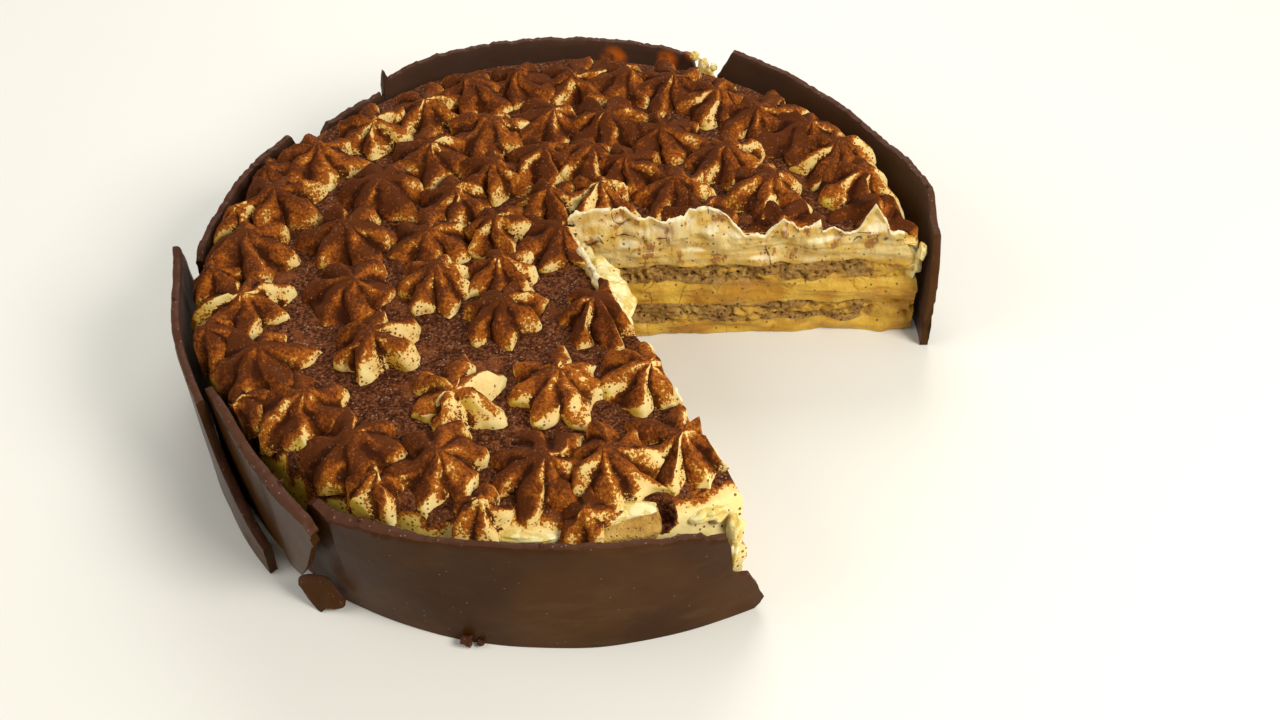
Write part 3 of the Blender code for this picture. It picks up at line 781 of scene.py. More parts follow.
def in_the_gap(place, margin):
    """Tell whether a point lies in the gap, more than a margin inside both of its cuts."""
    away = Vector((place.x - CUT_POINT[0], place.y - CUT_POINT[1], 0.0))
    back = away.dot(polar(1.0, BACK_CUT - 90))
    front = away.dot(polar(1.0, FRONT_CUT + 90))
    return min(back, front) > margin


def star_places():
    """List each star: its place, turn, size, which of the different stars it is, and its dusting."""
    draw = random.Random(STAR_SEED)
    look = random.Random(STAR_SEED + 1)
    places = []
    for distance, size, around in STAR_ROWS:
        for degrees in around:
            inwards = along(ROW_SHIFT, degrees)[0] * rise(distance, 0.030, 0.080)
            place = polar(distance + inwards + draw.uniform(-0.0010, 0.0010), degrees, CAKE_HEIGHT)
            grown = size * draw.uniform(0.93, 1.07)
            petals = 5 if size < SMALL_STAR else draw.choice((6, 6, 7))
            turn = math.radians(draw.uniform(0.0, 60.0))
            if in_the_gap(place, 0.6 * size):
                continue
            for _ in range(3 + 2 * petals):
                draw.uniform(0.0, 1.0)  # spent, so that the stars after this one keep their places
            kind = (petals - 5) * VARIANTS + look.randrange(VARIANTS)
            tall = look.uniform(0.86, 1.10) * (0.85 if size < SMALL_STAR else 1.0)
            tall *= 1.0 - 0.16 * rise(place.y, 0.04, 0.07)
            lean = (math.radians(look.uniform(-5.0, 5.0)), math.radians(look.uniform(-5.0, 5.0)))
            front = rise(-place.y + 0.6 * place.x, 0.0, 0.070)
            thin = THIN_STARS.get((distance, degrees), look.uniform(-0.60, 0.18) + 0.12 * front)
            if 0.0 < place.y < 0.016 and place.x > 0.0:
                thin = -1.0
            places.append((place, (*lean, turn), (grown, grown, tall), kind, thin))
    return places


def repeat_tree(name, group, material, width, height):
    """Build the nodes that put one of a group of shapes on each point and make it real."""
    tree = bpy.data.node_groups.new(name, "GeometryNodeTree")
    tree.interface.new_socket("Geometry", in_out="INPUT", socket_type="NodeSocketGeometry")
    tree.interface.new_socket("Geometry", in_out="OUTPUT", socket_type="NodeSocketGeometry")
    for title, value in (("Width", width), ("Height", height)):
        socket = tree.interface.new_socket(title, in_out="INPUT", socket_type="NodeSocketFloat")
        socket.default_value = value

    def node(kind, settings=None, sockets=None):
        return add_node(tree, kind, settings, sockets)

    def named(title, kind):
        given = node("GeometryNodeInputNamedAttribute", {"data_type": kind}, {"Name": title})
        return given.outputs["Attribute"]

    given = node("NodeGroupInput").outputs
    shapes = node("GeometryNodeCollectionInfo", {}, {
        "Collection": group, "Separate Children": True, "Reset Children": True,
    })
    unit = node("ShaderNodeCombineXYZ", {}, {"X": given["Width"], "Y": given["Width"], "Z": given["Height"]})
    scale = node("ShaderNodeVectorMath", {"operation": "MULTIPLY"}, {
        0: named("size", "FLOAT_VECTOR"), 1: unit.outputs[0],
    })
    placed = node("GeometryNodeInstanceOnPoints", {}, {
        "Points": given["Geometry"], "Instance": shapes.outputs[0], "Pick Instance": True,
        "Instance Index": named("kind", "INT"), "Rotation": named("turn", "FLOAT_VECTOR"),
        "Scale": scale.outputs[0],
    })
    real = node("GeometryNodeRealizeInstances", {}, {"Geometry": placed.outputs[0]})
    coated = node("GeometryNodeSetMaterial", {}, {"Geometry": real.outputs[0], "Material": material})
    node("NodeGroupOutput", {}, {0: coated.outputs[0]})
    return tree


def repeat(name, tree, places, width, height):
    """Make one plain mesh of the shapes that a tree puts at a list of places."""
    mesh = bpy.data.meshes.new(name)
    mesh.from_pydata([tuple(place) for place, *_ in places], [], [])
    for title, kind, index in (("turn", "FLOAT_VECTOR", 1), ("size", "FLOAT_VECTOR", 2), ("kind", "INT", 3),
                               ("thin", "FLOAT", 4)):
        layer = mesh.attributes.new(title, kind, "POINT")
        values = [place[index] for place in places]
        if kind == "FLOAT_VECTOR":
            layer.data.foreach_set("vector", [part for value in values for part in value])
        else:
            layer.data.foreach_set("value", values)
    piece = add_object(name, mesh)
    maker = piece.modifiers.new("repeat", "NODES")
    maker.node_group = tree
    for item in tree.interface.items_tree:
        if item.item_type == "SOCKET" and item.in_out == "INPUT" and item.name in ("Width", "Height"):
            maker[item.identifier] = width if item.name == "Width" else height
    graph = bpy.context.evaluated_depsgraph_get()
    real = bpy.data.meshes.new_from_object(piece.evaluated_get(graph))
    piece.modifiers.remove(maker)
    piece.data = real
    real.name = name
    bpy.data.meshes.remove(mesh)
    return piece


def settle(mesh):
    """Let the cream sag a little unevenly, droop over the shoulder, and stay inside the collar."""
    for vertex in mesh.vertices:
        place = vertex.co.copy()
        place += shift(place, 0.0048) * 0.0014 + shift(place, 0.0020) * 0.0005
        radius = place.xy.length
        degrees = math.degrees(math.atan2(place.y, place.x)) % 360
        edge = side_radius(degrees, CAKE_HEIGHT) - 0.0022
        past = radius - edge
        if past > 0.0:
            place.z -= min(0.0034, past * past / 0.010)
        place.z -= top_drop(degrees, radius)
        limit = along(COAT_SIDE, degrees)[0] - 0.0002
        if radius > limit:
            place.xy *= limit / radius
        away = place - polar(*HOLLOW_PLACE)
        if 0.0 < away.length < HOLLOW_CLEAR:
            place.xy += away.xy.normalized() * (HOLLOW_CLEAR - away.length)
        if place.z > STAR_TOP:
            place.z = STAR_TOP + 0.35 * (place.z - STAR_TOP)
        vertex.co = place


def pipe(name, places):
    """Pipe the listed stars as one plain mesh."""
    piece = repeat(name, piping, places, 1.0, STAR_HEIGHT)
    settle(piece.data)
    soften(piece.data, 70)
    return piece


def crosses_cut(place, size):
    """Tell whether the knife went through a star."""
    return in_the_gap(place, -1.15 * size) and not in_the_gap(place, 1.2 * size)


def join(name, pieces):
    """Join pieces into the first, under one name."""
    with bpy.context.temp_override(active_object=pieces[0], selected_editable_objects=pieces):
        bpy.ops.object.join()
    pieces[0].name = name
    return pieces[0]


nozzles = keep_together("star", [piped_star(number) for number in range(3 * VARIANTS)])
piping = repeat_tree("pipe_stars", nozzles, dusted, 1.0, STAR_HEIGHT)
all_stars = star_places()
whole = [star for star in all_stars if not crosses_cut(star[0], star[2][0])]
halved = [star for star in all_stars if crosses_cut(star[0], star[2][0])]
inner = [star for star in whole if star[0].xy.length < 0.070]
outer = [star for star in whole if star[0].xy.length >= 0.070]
for name, places in (("stars_inside", inner), ("stars_at_rim", outer)):
    place_on_cake(pipe(name, places), "dusted_cream")
cut_stars = [carve(pipe(f"cut_star_{number}", [star]), gap, 60) for number, star in enumerate(halved)]


# The torn edges. The top cream was dragged up along the back cut and stands there as a thin ragged
# wall that leans back, bright where no cocoa reached it. Along the front cut the knife left lower
# white lips.
CREST_LEAN = 0.32
CREST_MOST = 0.0079
# Each edge: its cut and side, how far down it starts, its thickness below and above, its lean, its
# number of columns, and its height by the distance along the cut.
TORN_EDGES = {
    "crest": (BACK_CUT, 1, 0.0045, 0.0032, 0.0009, CREST_LEAN, 300, (
        (0.0003, 0.0052), (0.0023, 0.0070), (0.0044, 0.0073), (0.0063, 0.0076), (0.0089, 0.0079),
        (0.0112, 0.0078), (0.0116, 0.0066), (0.0123, 0.0076), (0.0157, 0.0068), (0.0193, 0.0059),
        (0.0246, 0.0055), (0.0309, 0.0054), (0.0325, 0.0069), (0.0346, 0.0079), (0.0378, 0.0079),
        (0.0401, 0.0070), (0.0422, 0.0054), (0.0441, 0.0029), (0.0468, 0.0008), (0.0521, 0.0007),
        (0.0544, 0.0024), (0.0570, 0.0055), (0.0586, 0.0037), (0.0616, 0.0027), (0.0647, 0.0029),
        (0.0668, 0.0038), (0.0675, 0.0006), (0.0700, 0.0012), (0.0737, 0.0005), (0.0765, 0.0008),
        (0.0789, 0.0041), (0.0814, 0.0074), (0.0831, 0.0048), (0.0855, 0.0006), (0.0890, 0.0004),
    )),
    "lip_inner": (FRONT_CUT, -1, 0.0030, 0.0020, 0.0012, 0.10, 110, (
        (0.0005, 0.0008), (0.0030, 0.0034), (0.0060, 0.0022), (0.0095, 0.0034), (0.0130, 0.0016),
        (0.0170, 0.0030), (0.0210, 0.0026), (0.0240, 0.0036), (0.0285, 0.0020), (0.0320, 0.0024),
        (0.0355, 0.0003),
    )),
    "lip_middle": (FRONT_CUT, -1, 0.0030, 0.0020, 0.0012, 0.05, 70, (
        (0.0455, 0.0002), (0.0480, 0.0020), (0.0515, 0.0026), (0.0555, 0.0022), (0.0600, 0.0018),
        (0.0645, 0.0016), (0.0675, 0.0002),
    )),
    "lip_outer": (FRONT_CUT, -1, 0.0034, 0.0020, 0.0010, 0.05, 50, (
        (0.0800, 0.0002), (0.0825, 0.0016), (0.0850, 0.0006), (0.0880, 0.0012), (0.0905, 0.0002),
    )),
}
TORN_ROWS = 18


def bar_faces(count, size):
    """List the faces of a closed bar made of rings of points, one ring after another."""
    faces = []
    for near in range(0, (count - 1) * size, size):
        far = near + size
        for corner in range(size):
            after = (corner + 1) % size
            faces.append((near + corner, far + corner, far + after, near + after))
    faces.append(tuple(range(size)))
    faces.append(tuple(range(count * size - 1, (count - 1) * size - 1, -1)))
    return faces


def torn_shape(degrees, side, foot, thick, thin, lean, columns, line):
    """Tear an edge of cream: a closed sheet whose front carries on from the cut face below it."""
    points = []
    start = Vector((*CUT_POINT, 0.0))
    forward = polar(1.0, degrees)
    away = polar(1.0, degrees + 90 * side)
    for column in range(columns + 1):
        distance = line[0][0] + (line[-1][0] - line[0][0]) * column / columns
        ragged = 0.0003 * unevenness(distance, 0.0, 61 + side, 0.0021)
        ragged += 0.00018 * unevenness(distance, 0.0, 63 + side, 0.0008)
        tall = min(CREST_MOST, max(0.0004, along(line, distance)[0] + ragged))
        front = []
        back = []
        for row in range(TORN_ROWS):
            up = row / (TORN_ROWS - 1)
            height = CAKE_HEIGHT - foot + up * (foot + tall)
            above = max(0.0, height - CAKE_HEIGHT)
            face = cut_offset(distance, min(height, CUT_TOP), side) - 0.0003 * min(1.0, up * 4.0)
            fold = 0.0008 * unevenness(distance, above, 66 + side, 0.0070) * min(1.0, above / 0.002)
            comb = 0.00010 * unevenness(distance, 0.12 * height, 67 + side, 0.0010) * min(1.0, up * 3.0)
            lump = 0.00060 * unevenness(distance, height, 69 + side, 0.0034) * min(1.0, up * 4.0)
            here = face + lean * above + fold + comb + lump - 0.0006 * rise(up, 0.75, 1.0)
            width = thick + (thin - thick) * up**0.7 + 0.0004 * unevenness(distance, height, 68, 0.0032)
            base = start + forward * distance + Vector((0.0, 0.0, height))
            front.append(base + away * here)
            back.append(base + away * (here + max(0.0007, width)))
        lip = (front[-1] + back[-1]) / 2 + Vector((0.0, 0.0, 0.35 * (back[-1] - front[-1]).length))
        ring = front + [lip] + back[::-1]
        points += ring if side > 0 else ring[::-1]
    return points, bar_faces(columns + 1, 2 * TORN_ROWS + 1)


def press_back(mesh):
    """Press what the knife left at the back cut behind the torn cream and no higher than it."""
    line = TORN_EDGES["crest"][-1]
    for vertex in mesh.vertices:
        place = vertex.co.copy()
        if place.x < 0.002 or place.z < CAKE_HEIGHT - 0.004 or not 0.001 < place.y < 0.018:
            continue
        above = max(0.0, place.z - CAKE_HEIGHT)
        nearest = CUT_POINT[1] + cut_offset(place.x, min(place.z, CUT_TOP), 1) + CREST_LEAN * above + 0.0012
        place.y = max(place.y, nearest)
        height = CAKE_HEIGHT + along(line, place.x)[0] - 0.0006
        place.z = min(place.z, height + 0.9 * max(0.0, place.y - nearest - 0.0010))
        vertex.co = place


for name, edge in TORN_EDGES.items():
    place_on_cake(new_piece("torn_" + name, *torn_shape(*edge), cut_cream, 60), "dusted_cream")
for star in cut_stars:
    press_back(star.data)
place_on_cake(join("stars_cut_through", cut_stars), "dusted_cream")


# The smudges. Soft cream was squeezed out between the stars and the collar, slumps at the inner end
# of the front cut, hangs in a tongue over the notch beside the gap, and stands in curls where the
# panels at the back do not meet.
# Each smudge: its place, its half sizes and its turn. Each slump: its distance along the cut, how far
# it stands into the gap, its height and its half sizes.
SMUDGES = (
    ((0.0925, 265.0, 0.0320), (0.0024, 0.0070, 0.0014), 0),
    ((0.0918, 290.2, 0.0320), (0.0030, 0.0036, 0.0014), 10),
    ((0.0166, 88.0, 0.0374), (0.0016, 0.0026, 0.0010), 0),
    ((0.0884, 277.4, 0.0347), (0.0034, 0.0092, 0.0012), 0),
    ((0.0930, 292.0, 0.0312), (0.0022, 0.0034, 0.0020), 0),
    ((0.0958, 293.9, 0.0265), (0.0016, 0.0018, 0.0065), 0),
    ((0.0972, 293.6, 0.0200), (0.0011, 0.0013, 0.0040), 0),
    ((0.0930, 4.6, 0.0235), (0.0022, 0.0032, 0.0050), 20),
    ((0.0948, 3.0, 0.0285), (0.0012, 0.0016, 0.0030), 0),
    ((0.0944, 65.2, 0.0345), (0.0012, 0.0016, 0.0038), 0),
    ((0.0940, 66.8, 0.0385), (0.0013, 0.0014, 0.0015), 0),
    ((0.0937, 64.0, 0.0330), (0.0014, 0.0020, 0.0024), 0),
    ((0.0939, 63.0, 0.0362), (0.0010, 0.0011, 0.0012), 0),
)
SLUMPS = (
    (0.0070, 0.0018, 0.0338, (0.0030, 0.0048, 0.0022)), (0.0120, 0.0030, 0.0332, (0.0036, 0.0050, 0.0028)),
    (0.0172, 0.0036, 0.0326, (0.0042, 0.0048, 0.0034)), (0.0222, 0.0038, 0.0318, (0.0040, 0.0044, 0.0036)),
    (0.0262, 0.0032, 0.0312, (0.0034, 0.0038, 0.0036)), (0.0298, 0.0022, 0.0306, (0.0028, 0.0034, 0.0036)),
    (0.0190, 0.0042, 0.0276, (0.0030, 0.0056, 0.0042)), (0.0255, 0.0030, 0.0258, (0.0026, 0.0056, 0.0042)),
)
SMUDGE_CREAM = (0.87, 0.745, 0.385)
SMUDGE_SHADE = (0.78, 0.60, 0.16)
SMUDGE_PIT_SHADE = (0.66, 0.44, 0.08)


def smudge_finish():
    """Mix smooth bare cream with a few grains of cocoa on it, and painted shade in its small dents."""
    bare = Finish("bare_mascarpone_cream", 0.36, 0.22, 0.005)
    body = bare.blend(bare.ease(bare.cloud(0.006, 3.0), 0.40, 0.66), SMUDGE_CREAM, SMUDGE_SHADE)
    pit = bare.ease(bare.cloud(0.0030, 3.0, 0.6), 0.46, 0.60)
    # Painted shade: small dents in the smudges are a deeper yellow.
    body = bare.blend(pit * 0.75, body, SMUDGE_PIT_SHADE)
    distance, lot = bare.cells(0.0018)
    speck = (distance < 0.20) * (lot > 0.80)
    body = bare.blend(speck * 0.9, body, COCOA)
    relief = bare.cloud(0.0022, 3.0, 0.6, bare.stretched(0.6, 0.6, 1.0)) - pit * 0.5
    return bare.done(body, bare.cloud(0.003) * 0.3 + 0.22, relief, 0.0005, 0.6)


bare_cream = smudge_finish()
smudges = []
for seed, (place, size, turn) in enumerate(SMUDGES):
    shape = ball_shape(polar(*place), place[1] + turn, size, 5 * seed, 0.20, 36)
    smudges.append(new_piece(f"smudge_{seed}", *shape, bare_cream, 60))
for seed, (distance, into, height, size) in enumerate(SLUMPS):
    forward, aside = polar(1.0, FRONT_CUT), polar(1.0, FRONT_CUT + 90)
    middle = Vector((*CUT_POINT, height)) + forward * distance + aside * into
    shape = ball_shape(middle, FRONT_CUT + 90, size, 7 * seed, 0.30, 44)
    smudges.append(new_piece(f"slump_{seed}", *shape, bare_cream, 60))
place_on_cake(join("cream_smudges", smudges), "dusted_cream")


# The biscuit. The end of a sponge finger stands in the front shoulder, dry and pale, its crust
# broken open by pores.
BISCUIT_SIZE = (0.0090, 0.0170, 0.0042)
BISCUIT_PLACE = (0.0912, 278.8, 0.0325)
BISCUIT_TILT = 12
CRUST_DARK = (0.42, 0.21, 0.030)
CRUST = (0.62, 0.39, 0.085)
CRUST_PORE_SHADE = (0.15, 0.06, 0.015)


def biscuit_shape():
    """Round a biscuit end off from a block and roughen its crust."""
    points = []
    count = 22
    around = 56
    half = Vector(BISCUIT_SIZE) / 2
    turn = Matrix.Rotation(math.radians(BISCUIT_PLACE[1]), 4, "Z")
    tilt = Matrix.Rotation(math.radians(BISCUIT_TILT), 4, "Y")
    set_in = Matrix.Translation(polar(*BISCUIT_PLACE)) @ turn @ tilt
    for ring in range(1, count):
        up = -math.cos(math.pi * ring / count)
        out = math.sin(math.pi * ring / count)
        for step in range(around):
            raw = polar(out, 360.0 * step / around, up)
            box = Vector([math.copysign(abs(value) ** 0.5, value) for value in raw])
            point = Vector([part * side for part, side in zip(box, half)])
            rough = 1.0 + 0.045 * noise.noise(point / 0.0012) + 0.05 * noise.noise(point / 0.004)
            points.append(set_in @ (point * rough))
    return rings(points, around, *[set_in @ Vector((0.0, 0.0, end)) for end in (-half.z, half.z)])


def biscuit_finish():
    """Mix a baked crust: sandy, with small pores darkened by painted shade."""
    baked = Finish("biscuit_crust", 0.8, 0.05, 0.002)
    tone = baked.cloud(0.0030, 3.0)
    body = baked.ramp(tone, ((0.35, CRUST_DARK), (0.65, CRUST)))
    distance, lot = baked.cells(0.0009)
    pore = (1.0 - baked.ease(distance, 0.10, 0.30)) * (lot > 0.6)
    # Painted shade inside the crust's pores.
    body = baked.blend(pore * 0.8, body, CRUST_PORE_SHADE)
    return baked.done(body, 0.85 - tone * 0.1, baked.cloud(0.0009, 3.0, 0.7) * 1.6 - pore, 0.0006, 1.0)


place_on_cake(new_piece("biscuit_crust", *biscuit_shape(), biscuit_finish(), 60), "biscuit", "biscuit_end")


# The collar. Dark chocolate was spread thin, set and broken by hand into panels, which stand round
# the coat. Their faces have a soft sheen with a little bloom, and their rims and ends are ragged,
# thick where the chocolate gathered. At the back, light comes through in a few orange spots.
CHOCOLATE_THICK = 0.0024
CHOCOLATE = (0.045, 0.0152, 0.0022)
CHOCOLATE_LIGHT = (0.072, 0.0275, 0.0050)
CHOCOLATE_BLOOM = (0.115, 0.062, 0.027)
CHOCOLATE_RIM = (0.080, 0.030, 0.017)
CHOCOLATE_INNER_SHEEN = (0.076, 0.043, 0.032)
CHOCOLATE_FLECK = (0.24, 0.16, 0.12)
CHOCOLATE_CRUMB = (0.34, 0.19, 0.13)
CHOCOLATE_GLOW = (0.75, 0.16, 0.008)
# Each panel, by degrees: the height of its rim, the height of its foot, and its radius at the foot and
# at the rim with the thickness of the rim.
PANELS = {
    "collar_back": (
        ((64.0, 0.0295), (65.5, 0.0312), (67.4, 0.0322), (68.0, 0.0366), (82, 0.0382), (103, 0.0394),
         (115, 0.0394), (121, 0.0386), (124.6, 0.0368), (125.3, 0.0402), (126.0, 0.0350)),
        ((64.0, 0.0), (126.0, 0.0)),
        ((64.0, 0.0985, 0.0985, 0.0024), (126.0, 0.0983, 0.0983, 0.0024)),
    ),
    "collar_right_back": (
        ((-0.8, 0.0215), (0.4, 0.0290), (2.5, 0.0346), (7.4, 0.0350), (10.6, 0.0384), (20, 0.0372),
         (28, 0.0356), (38, 0.0362), (49.5, 0.0380), (60.6, 0.0398), (61.6, 0.0362), (63.4, 0.0298)),
        ((-0.8, 0.0), (63.4, 0.0)),
        ((-0.8, 0.0985, 0.0988, 0.0024), (6, 0.0988, 0.0996, 0.0024), (12, 0.0995, 0.1012, 0.0024),
         (45, 0.1005, 0.1008, 0.0024), (63.4, 0.1003, 0.1006, 0.0024)),
    ),
    "collar_left_back": (
        ((126.6, 0.0332), (129, 0.0330), (134, 0.0325), (138.0, 0.0318), (139.4, 0.0298), (140.2, 0.0262),
         (143, 0.0256), (145.4, 0.0306), (146.4, 0.0357), (154, 0.0364), (160, 0.0359), (169, 0.0350),
         (177, 0.0354), (178.9, 0.0335)),
        ((126.6, 0.0), (178.9, 0.0)),
        ((126.6, 0.0983, 0.0983, 0.0024), (178.9, 0.0985, 0.0985, 0.0024)),
    ),
    "collar_left": (
        ((179.4, 0.0362), (180.2, 0.0402), (181.6, 0.0384), (186, 0.0372), (192, 0.0378), (197, 0.0380),
         (198.2, 0.0362), (203, 0.0372), (208, 0.0368), (211.5, 0.0362), (213, 0.0300), (216, 0.0220),
         (220, 0.0155), (224, 0.0112), (226.6, 0.0088)),
        ((179.4, 0.0), (226.6, 0.0)),
        ((179.4, 0.1008, 0.1028, 0.0024), (186, 0.1008, 0.1016, 0.0024), (205, 0.1014, 0.1016, 0.0024),
         (213, 0.1022, 0.1022, 0.0024), (221, 0.1038, 0.1038, 0.0026), (226.6, 0.1052, 0.1052, 0.0026)),
    ),
    "collar_left_front": (
        ((209, 0.0355), (213, 0.0378), (217, 0.0374), (222, 0.0352), (227, 0.0362), (231, 0.0374),
         (235, 0.0370), (238.4, 0.0364), (239.6, 0.0338)),
        ((209, 0.0020), (214, 0.0048), (219, 0.0080), (231, 0.0082), (234.2, 0.0105), (236.5, 0.0180),
         (239.0, 0.0290), (239.6, 0.0315)),
        ((209, 0.0986, 0.0986, 0.0024), (216, 0.0990, 0.0990, 0.0026), (221, 0.0998, 0.1000, 0.0028),
         (228, 0.1016, 0.1022, 0.0031), (231, 0.1034, 0.1040, 0.0036), (234.5, 0.1053, 0.1056, 0.0034),
         (239.6, 0.1074, 0.1078, 0.0030)),
    ),
    "collar_chip": (
        ((233.2, 0.0074), (233.8, 0.0088), (236.6, 0.0082), (238.0, 0.0050), (238.9, 0.0034)),
        ((233.2, 0.0060), (234.6, 0.0026), (235.9, 0.0), (236.6, 0.0), (237.2, 0.0016), (238.0, 0.0012),
         (238.9, 0.0022)),
        ((233.2, 0.1056, 0.1046, 0.0011), (236.6, 0.1056, 0.1017, 0.0011), (238.9, 0.1030, 0.1020, 0.0011)),
    ),
    "collar_front": (
        ((229.5, 0.0200), (233.5, 0.0245), (235.2, 0.0322), (236.4, 0.0336), (240, 0.0345), (246, 0.0352),
         (253, 0.0348), (258, 0.0358), (269, 0.0368), (279, 0.0354), (286, 0.0338), (288.5, 0.0328),
         (289.5, 0.0310), (291.8, 0.0303), (292.3, 0.0270), (292.8, 0.0160), (293.8, 0.0147), (295.5, 0.0134),
         (296.5, 0.0090), (297.4, 0.0030)),
        ((229.5, 0.0), (296.2, 0.0), (297.4, 0.0012)),
        ((229.5, 0.0985, 0.0985, 0.0018), (234, 0.0992, 0.0995, 0.0024), (237, 0.0998, 0.1010, 0.0034),
         (240, 0.0998, 0.1026, 0.0042), (247, 0.0998, 0.1016, 0.0038), (254, 0.0998, 0.0999, 0.0022),
         (297.4, 0.1000, 0.1000, 0.0022)),
    ),
}
GLOWS = ((0.0962, 82.5, 0.0325, 0.0044), (0.0962, 72.5, 0.0335, 0.0036), (0.0980, 68.4, 0.0360, 0.0022))
PANEL_STEP = 0.45
PANEL_ROWS = (0.0, 0.06, 0.14, 0.24, 0.35, 0.46, 0.57, 0.68, 0.78, 0.87, 0.94, 0.98)
RIM_ACROSS = (0.12, 0.32, 0.52, 0.72, 0.90)


def panel_shape(top, foot, radii, seed):
    """Bend one broken panel round the cake, with ragged rims and ends and softly waved faces."""
    low, high = top[0][0], top[-1][0]
    count = max(20, int((high - low) / PANEL_STEP))
    stops = {round(low + (high - low) * step / count, 3) for step in range(count + 1)}
    stops = sorted(stops | {row[0] for row in top} | {row[0] for row in foot})
    points = []
    for degrees in stops:
        rough = 0.00030 * unevenness(degrees, 0.0, seed, 3.0)
        rough += 0.00024 * unevenness(degrees, 0.0, seed + 30, 0.8)
        upper = along(top, degrees)[0] + rough
        lower = along(foot, degrees)[0]
        foot_radius, top_radius, top_thick = along(radii, degrees)
        foot_thick = min(CHOCOLATE_THICK, top_thick)
        at_end = max(0.0, 1.0 - (degrees - low) / 1.2, 1.0 - (high - degrees) / 1.2)

        def at(share, depth, lift=0.0):
            height = lower + (upper - lower) * share + lift
            wave = 0.00016 * unevenness(degrees / 9.0, height / 0.02, seed + 50, 1.0)
            thick = foot_thick + (top_thick - foot_thick) * share - 0.0002
            jag = 0.35 * at_end * unevenness(height, 0.0, seed + 70, 0.0022)
            radius = foot_radius + (top_radius - foot_radius) * share - thick * depth + wave - 0.0001
            return polar(radius, degrees + jag, height)

        rim = []
        for across in RIM_ACROSS:
            lumpy = 0.00012 * unevenness(degrees, 12.0 * across, seed + 90, 0.9)
            rim.append(at(1.0, across, 0.00030 * math.sin(math.pi * across) - 0.00022 + lumpy))
        outside = [at(share, 0.0) for share in PANEL_ROWS]
        inside = [at(share, 1.0) for share in PANEL_ROWS]
        points += outside + rim + inside[::-1]
    return points, bar_faces(len(stops), 2 * len(PANEL_ROWS) + len(RIM_ACROSS))


def chocolate_finish():
    """Mix dark chocolate: satin, bloom in drifts near the foot, fine scuffs, reddish at its rims, and a
    painted sheen on faces that turn inwards.
    """
    dark = Finish("dark_chocolate", 0.4, 0.0, 0.0, 0.09)
    broad = dark.cloud(0.030, 3.0)
    body = dark.blend(dark.ease(broad, 0.38, 0.66), CHOCOLATE, CHOCOLATE_LIGHT)
    drift = dark.cloud(0.008, 4.0, 0.6, dark.stretched(0.6, 0.6, 1.6))
    low = 1.0 - dark.ease(dark.height(), 0.002, 0.012)
    bloom = dark.ease(drift + (broad - 0.5) * 0.5 + low * 0.10, 0.56, 0.80)
    body = dark.blend(bloom * 0.34, body, CHOCOLATE_BLOOM)
    distance, lot = dark.cells(0.0018)
    fleck = (distance < 0.12) * (lot > 0.90)
    body = dark.blend(fleck * 0.5, body, CHOCOLATE_FLECK)
    rim = dark.ease(dark.facing((0.0, 0.0, 1.0)) + (dark.cloud(0.0012, 3.0) - 0.5) * 0.5, 0.30, 0.75)
    body = dark.blend(rim * 0.75, body, CHOCOLATE_RIM)
    # Painted sheen: faces that turn in towards the cake are made lighter and greyer, as a soft reflection.
    across = dark.node("ShaderNodeVectorMath", {"operation": "MULTIPLY"}, {0: dark.place, 1: (1.0, 1.0, 0.0)})
    outwards = dark.node("ShaderNodeVectorMath", {"operation": "NORMALIZE"}, {0: across.outputs[0]}).outputs[0]
    inner = 1.0 - dark.ease(dark.facing(outwards), -0.8, -0.2)
    body = dark.blend(inner * (drift * 0.4 + 0.45), body, CHOCOLATE_INNER_SHEEN)
    glow = dark.painted("glow") * dark.ease(dark.cloud(0.0040, 3.0), 0.25, 0.60)
    body = dark.blend(glow, body, CHOCOLATE_GLOW)
    crumb_distance, crumb_lot = dark.cells(0.0009)
    crumb = (crumb_distance < 0.24) * (crumb_lot > 0.80) * rim
    body = dark.blend(crumb * 0.5, body, CHOCOLATE_CRUMB)
    rough = broad * 0.16 + bloom * 0.18 + rim * 0.20 + 0.24
    relief = dark.cloud(0.0090, 2.0) + dark.cloud(0.0008, 3.0) * 0.10 + dark.cloud(0.0012, 3.0) * rim * 0.5
    return dark.done(body, rough, relief, 0.0006, 0.45)


chocolate = chocolate_finish()
for seed, (name, (top, foot, radii)) in enumerate(PANELS.items()):
    panel = new_piece(name + "_panel", *panel_shape(top, foot, radii, seed), chocolate, 35)
    if name == "collar_back":
        paint(panel, "glow", [
            max(1.0 - rise((vertex.co - polar(*glow[:3])).length / glow[3], 0.2, 1.2) for glow in GLOWS)
            * (1.0 - rise(vertex.co.xy.length, 0.0966, 0.0980))
            for vertex in panel.data.vertices
        ])
    place_on_cake(panel, "chocolate", name)


# The crumbs. Small clumps of cocoa lie on the dusted cream, and a few splinters of chocolate have
# stuck to the rims and to the foot of the front panel.
CLUMPS = 1500
CLUMP_SIZE = 0.00020
SPLINTERS = (
    (0.1004, 257.0, 0.0016, 0.0018), (0.1003, 258.6, 0.0010, 0.0010), (0.0990, 268.0, 0.0369, 0.0006),
    (0.0986, 275.0, 0.0361, 0.0005), (0.0995, 244.0, 0.0352, 0.0006), (0.1010, 232.0, 0.0375, 0.0006),
    (0.1000, 222.0, 0.0356, 0.0005), (0.0994, 12.0, 0.0385, 0.0006), (0.0992, 33.0, 0.0360, 0.0005),
    (0.0975, 95.0, 0.0377, 0.0005), (0.0972, 152.0, 0.0363, 0.0005), (0.1005, 190.0, 0.0377, 0.0006),
)


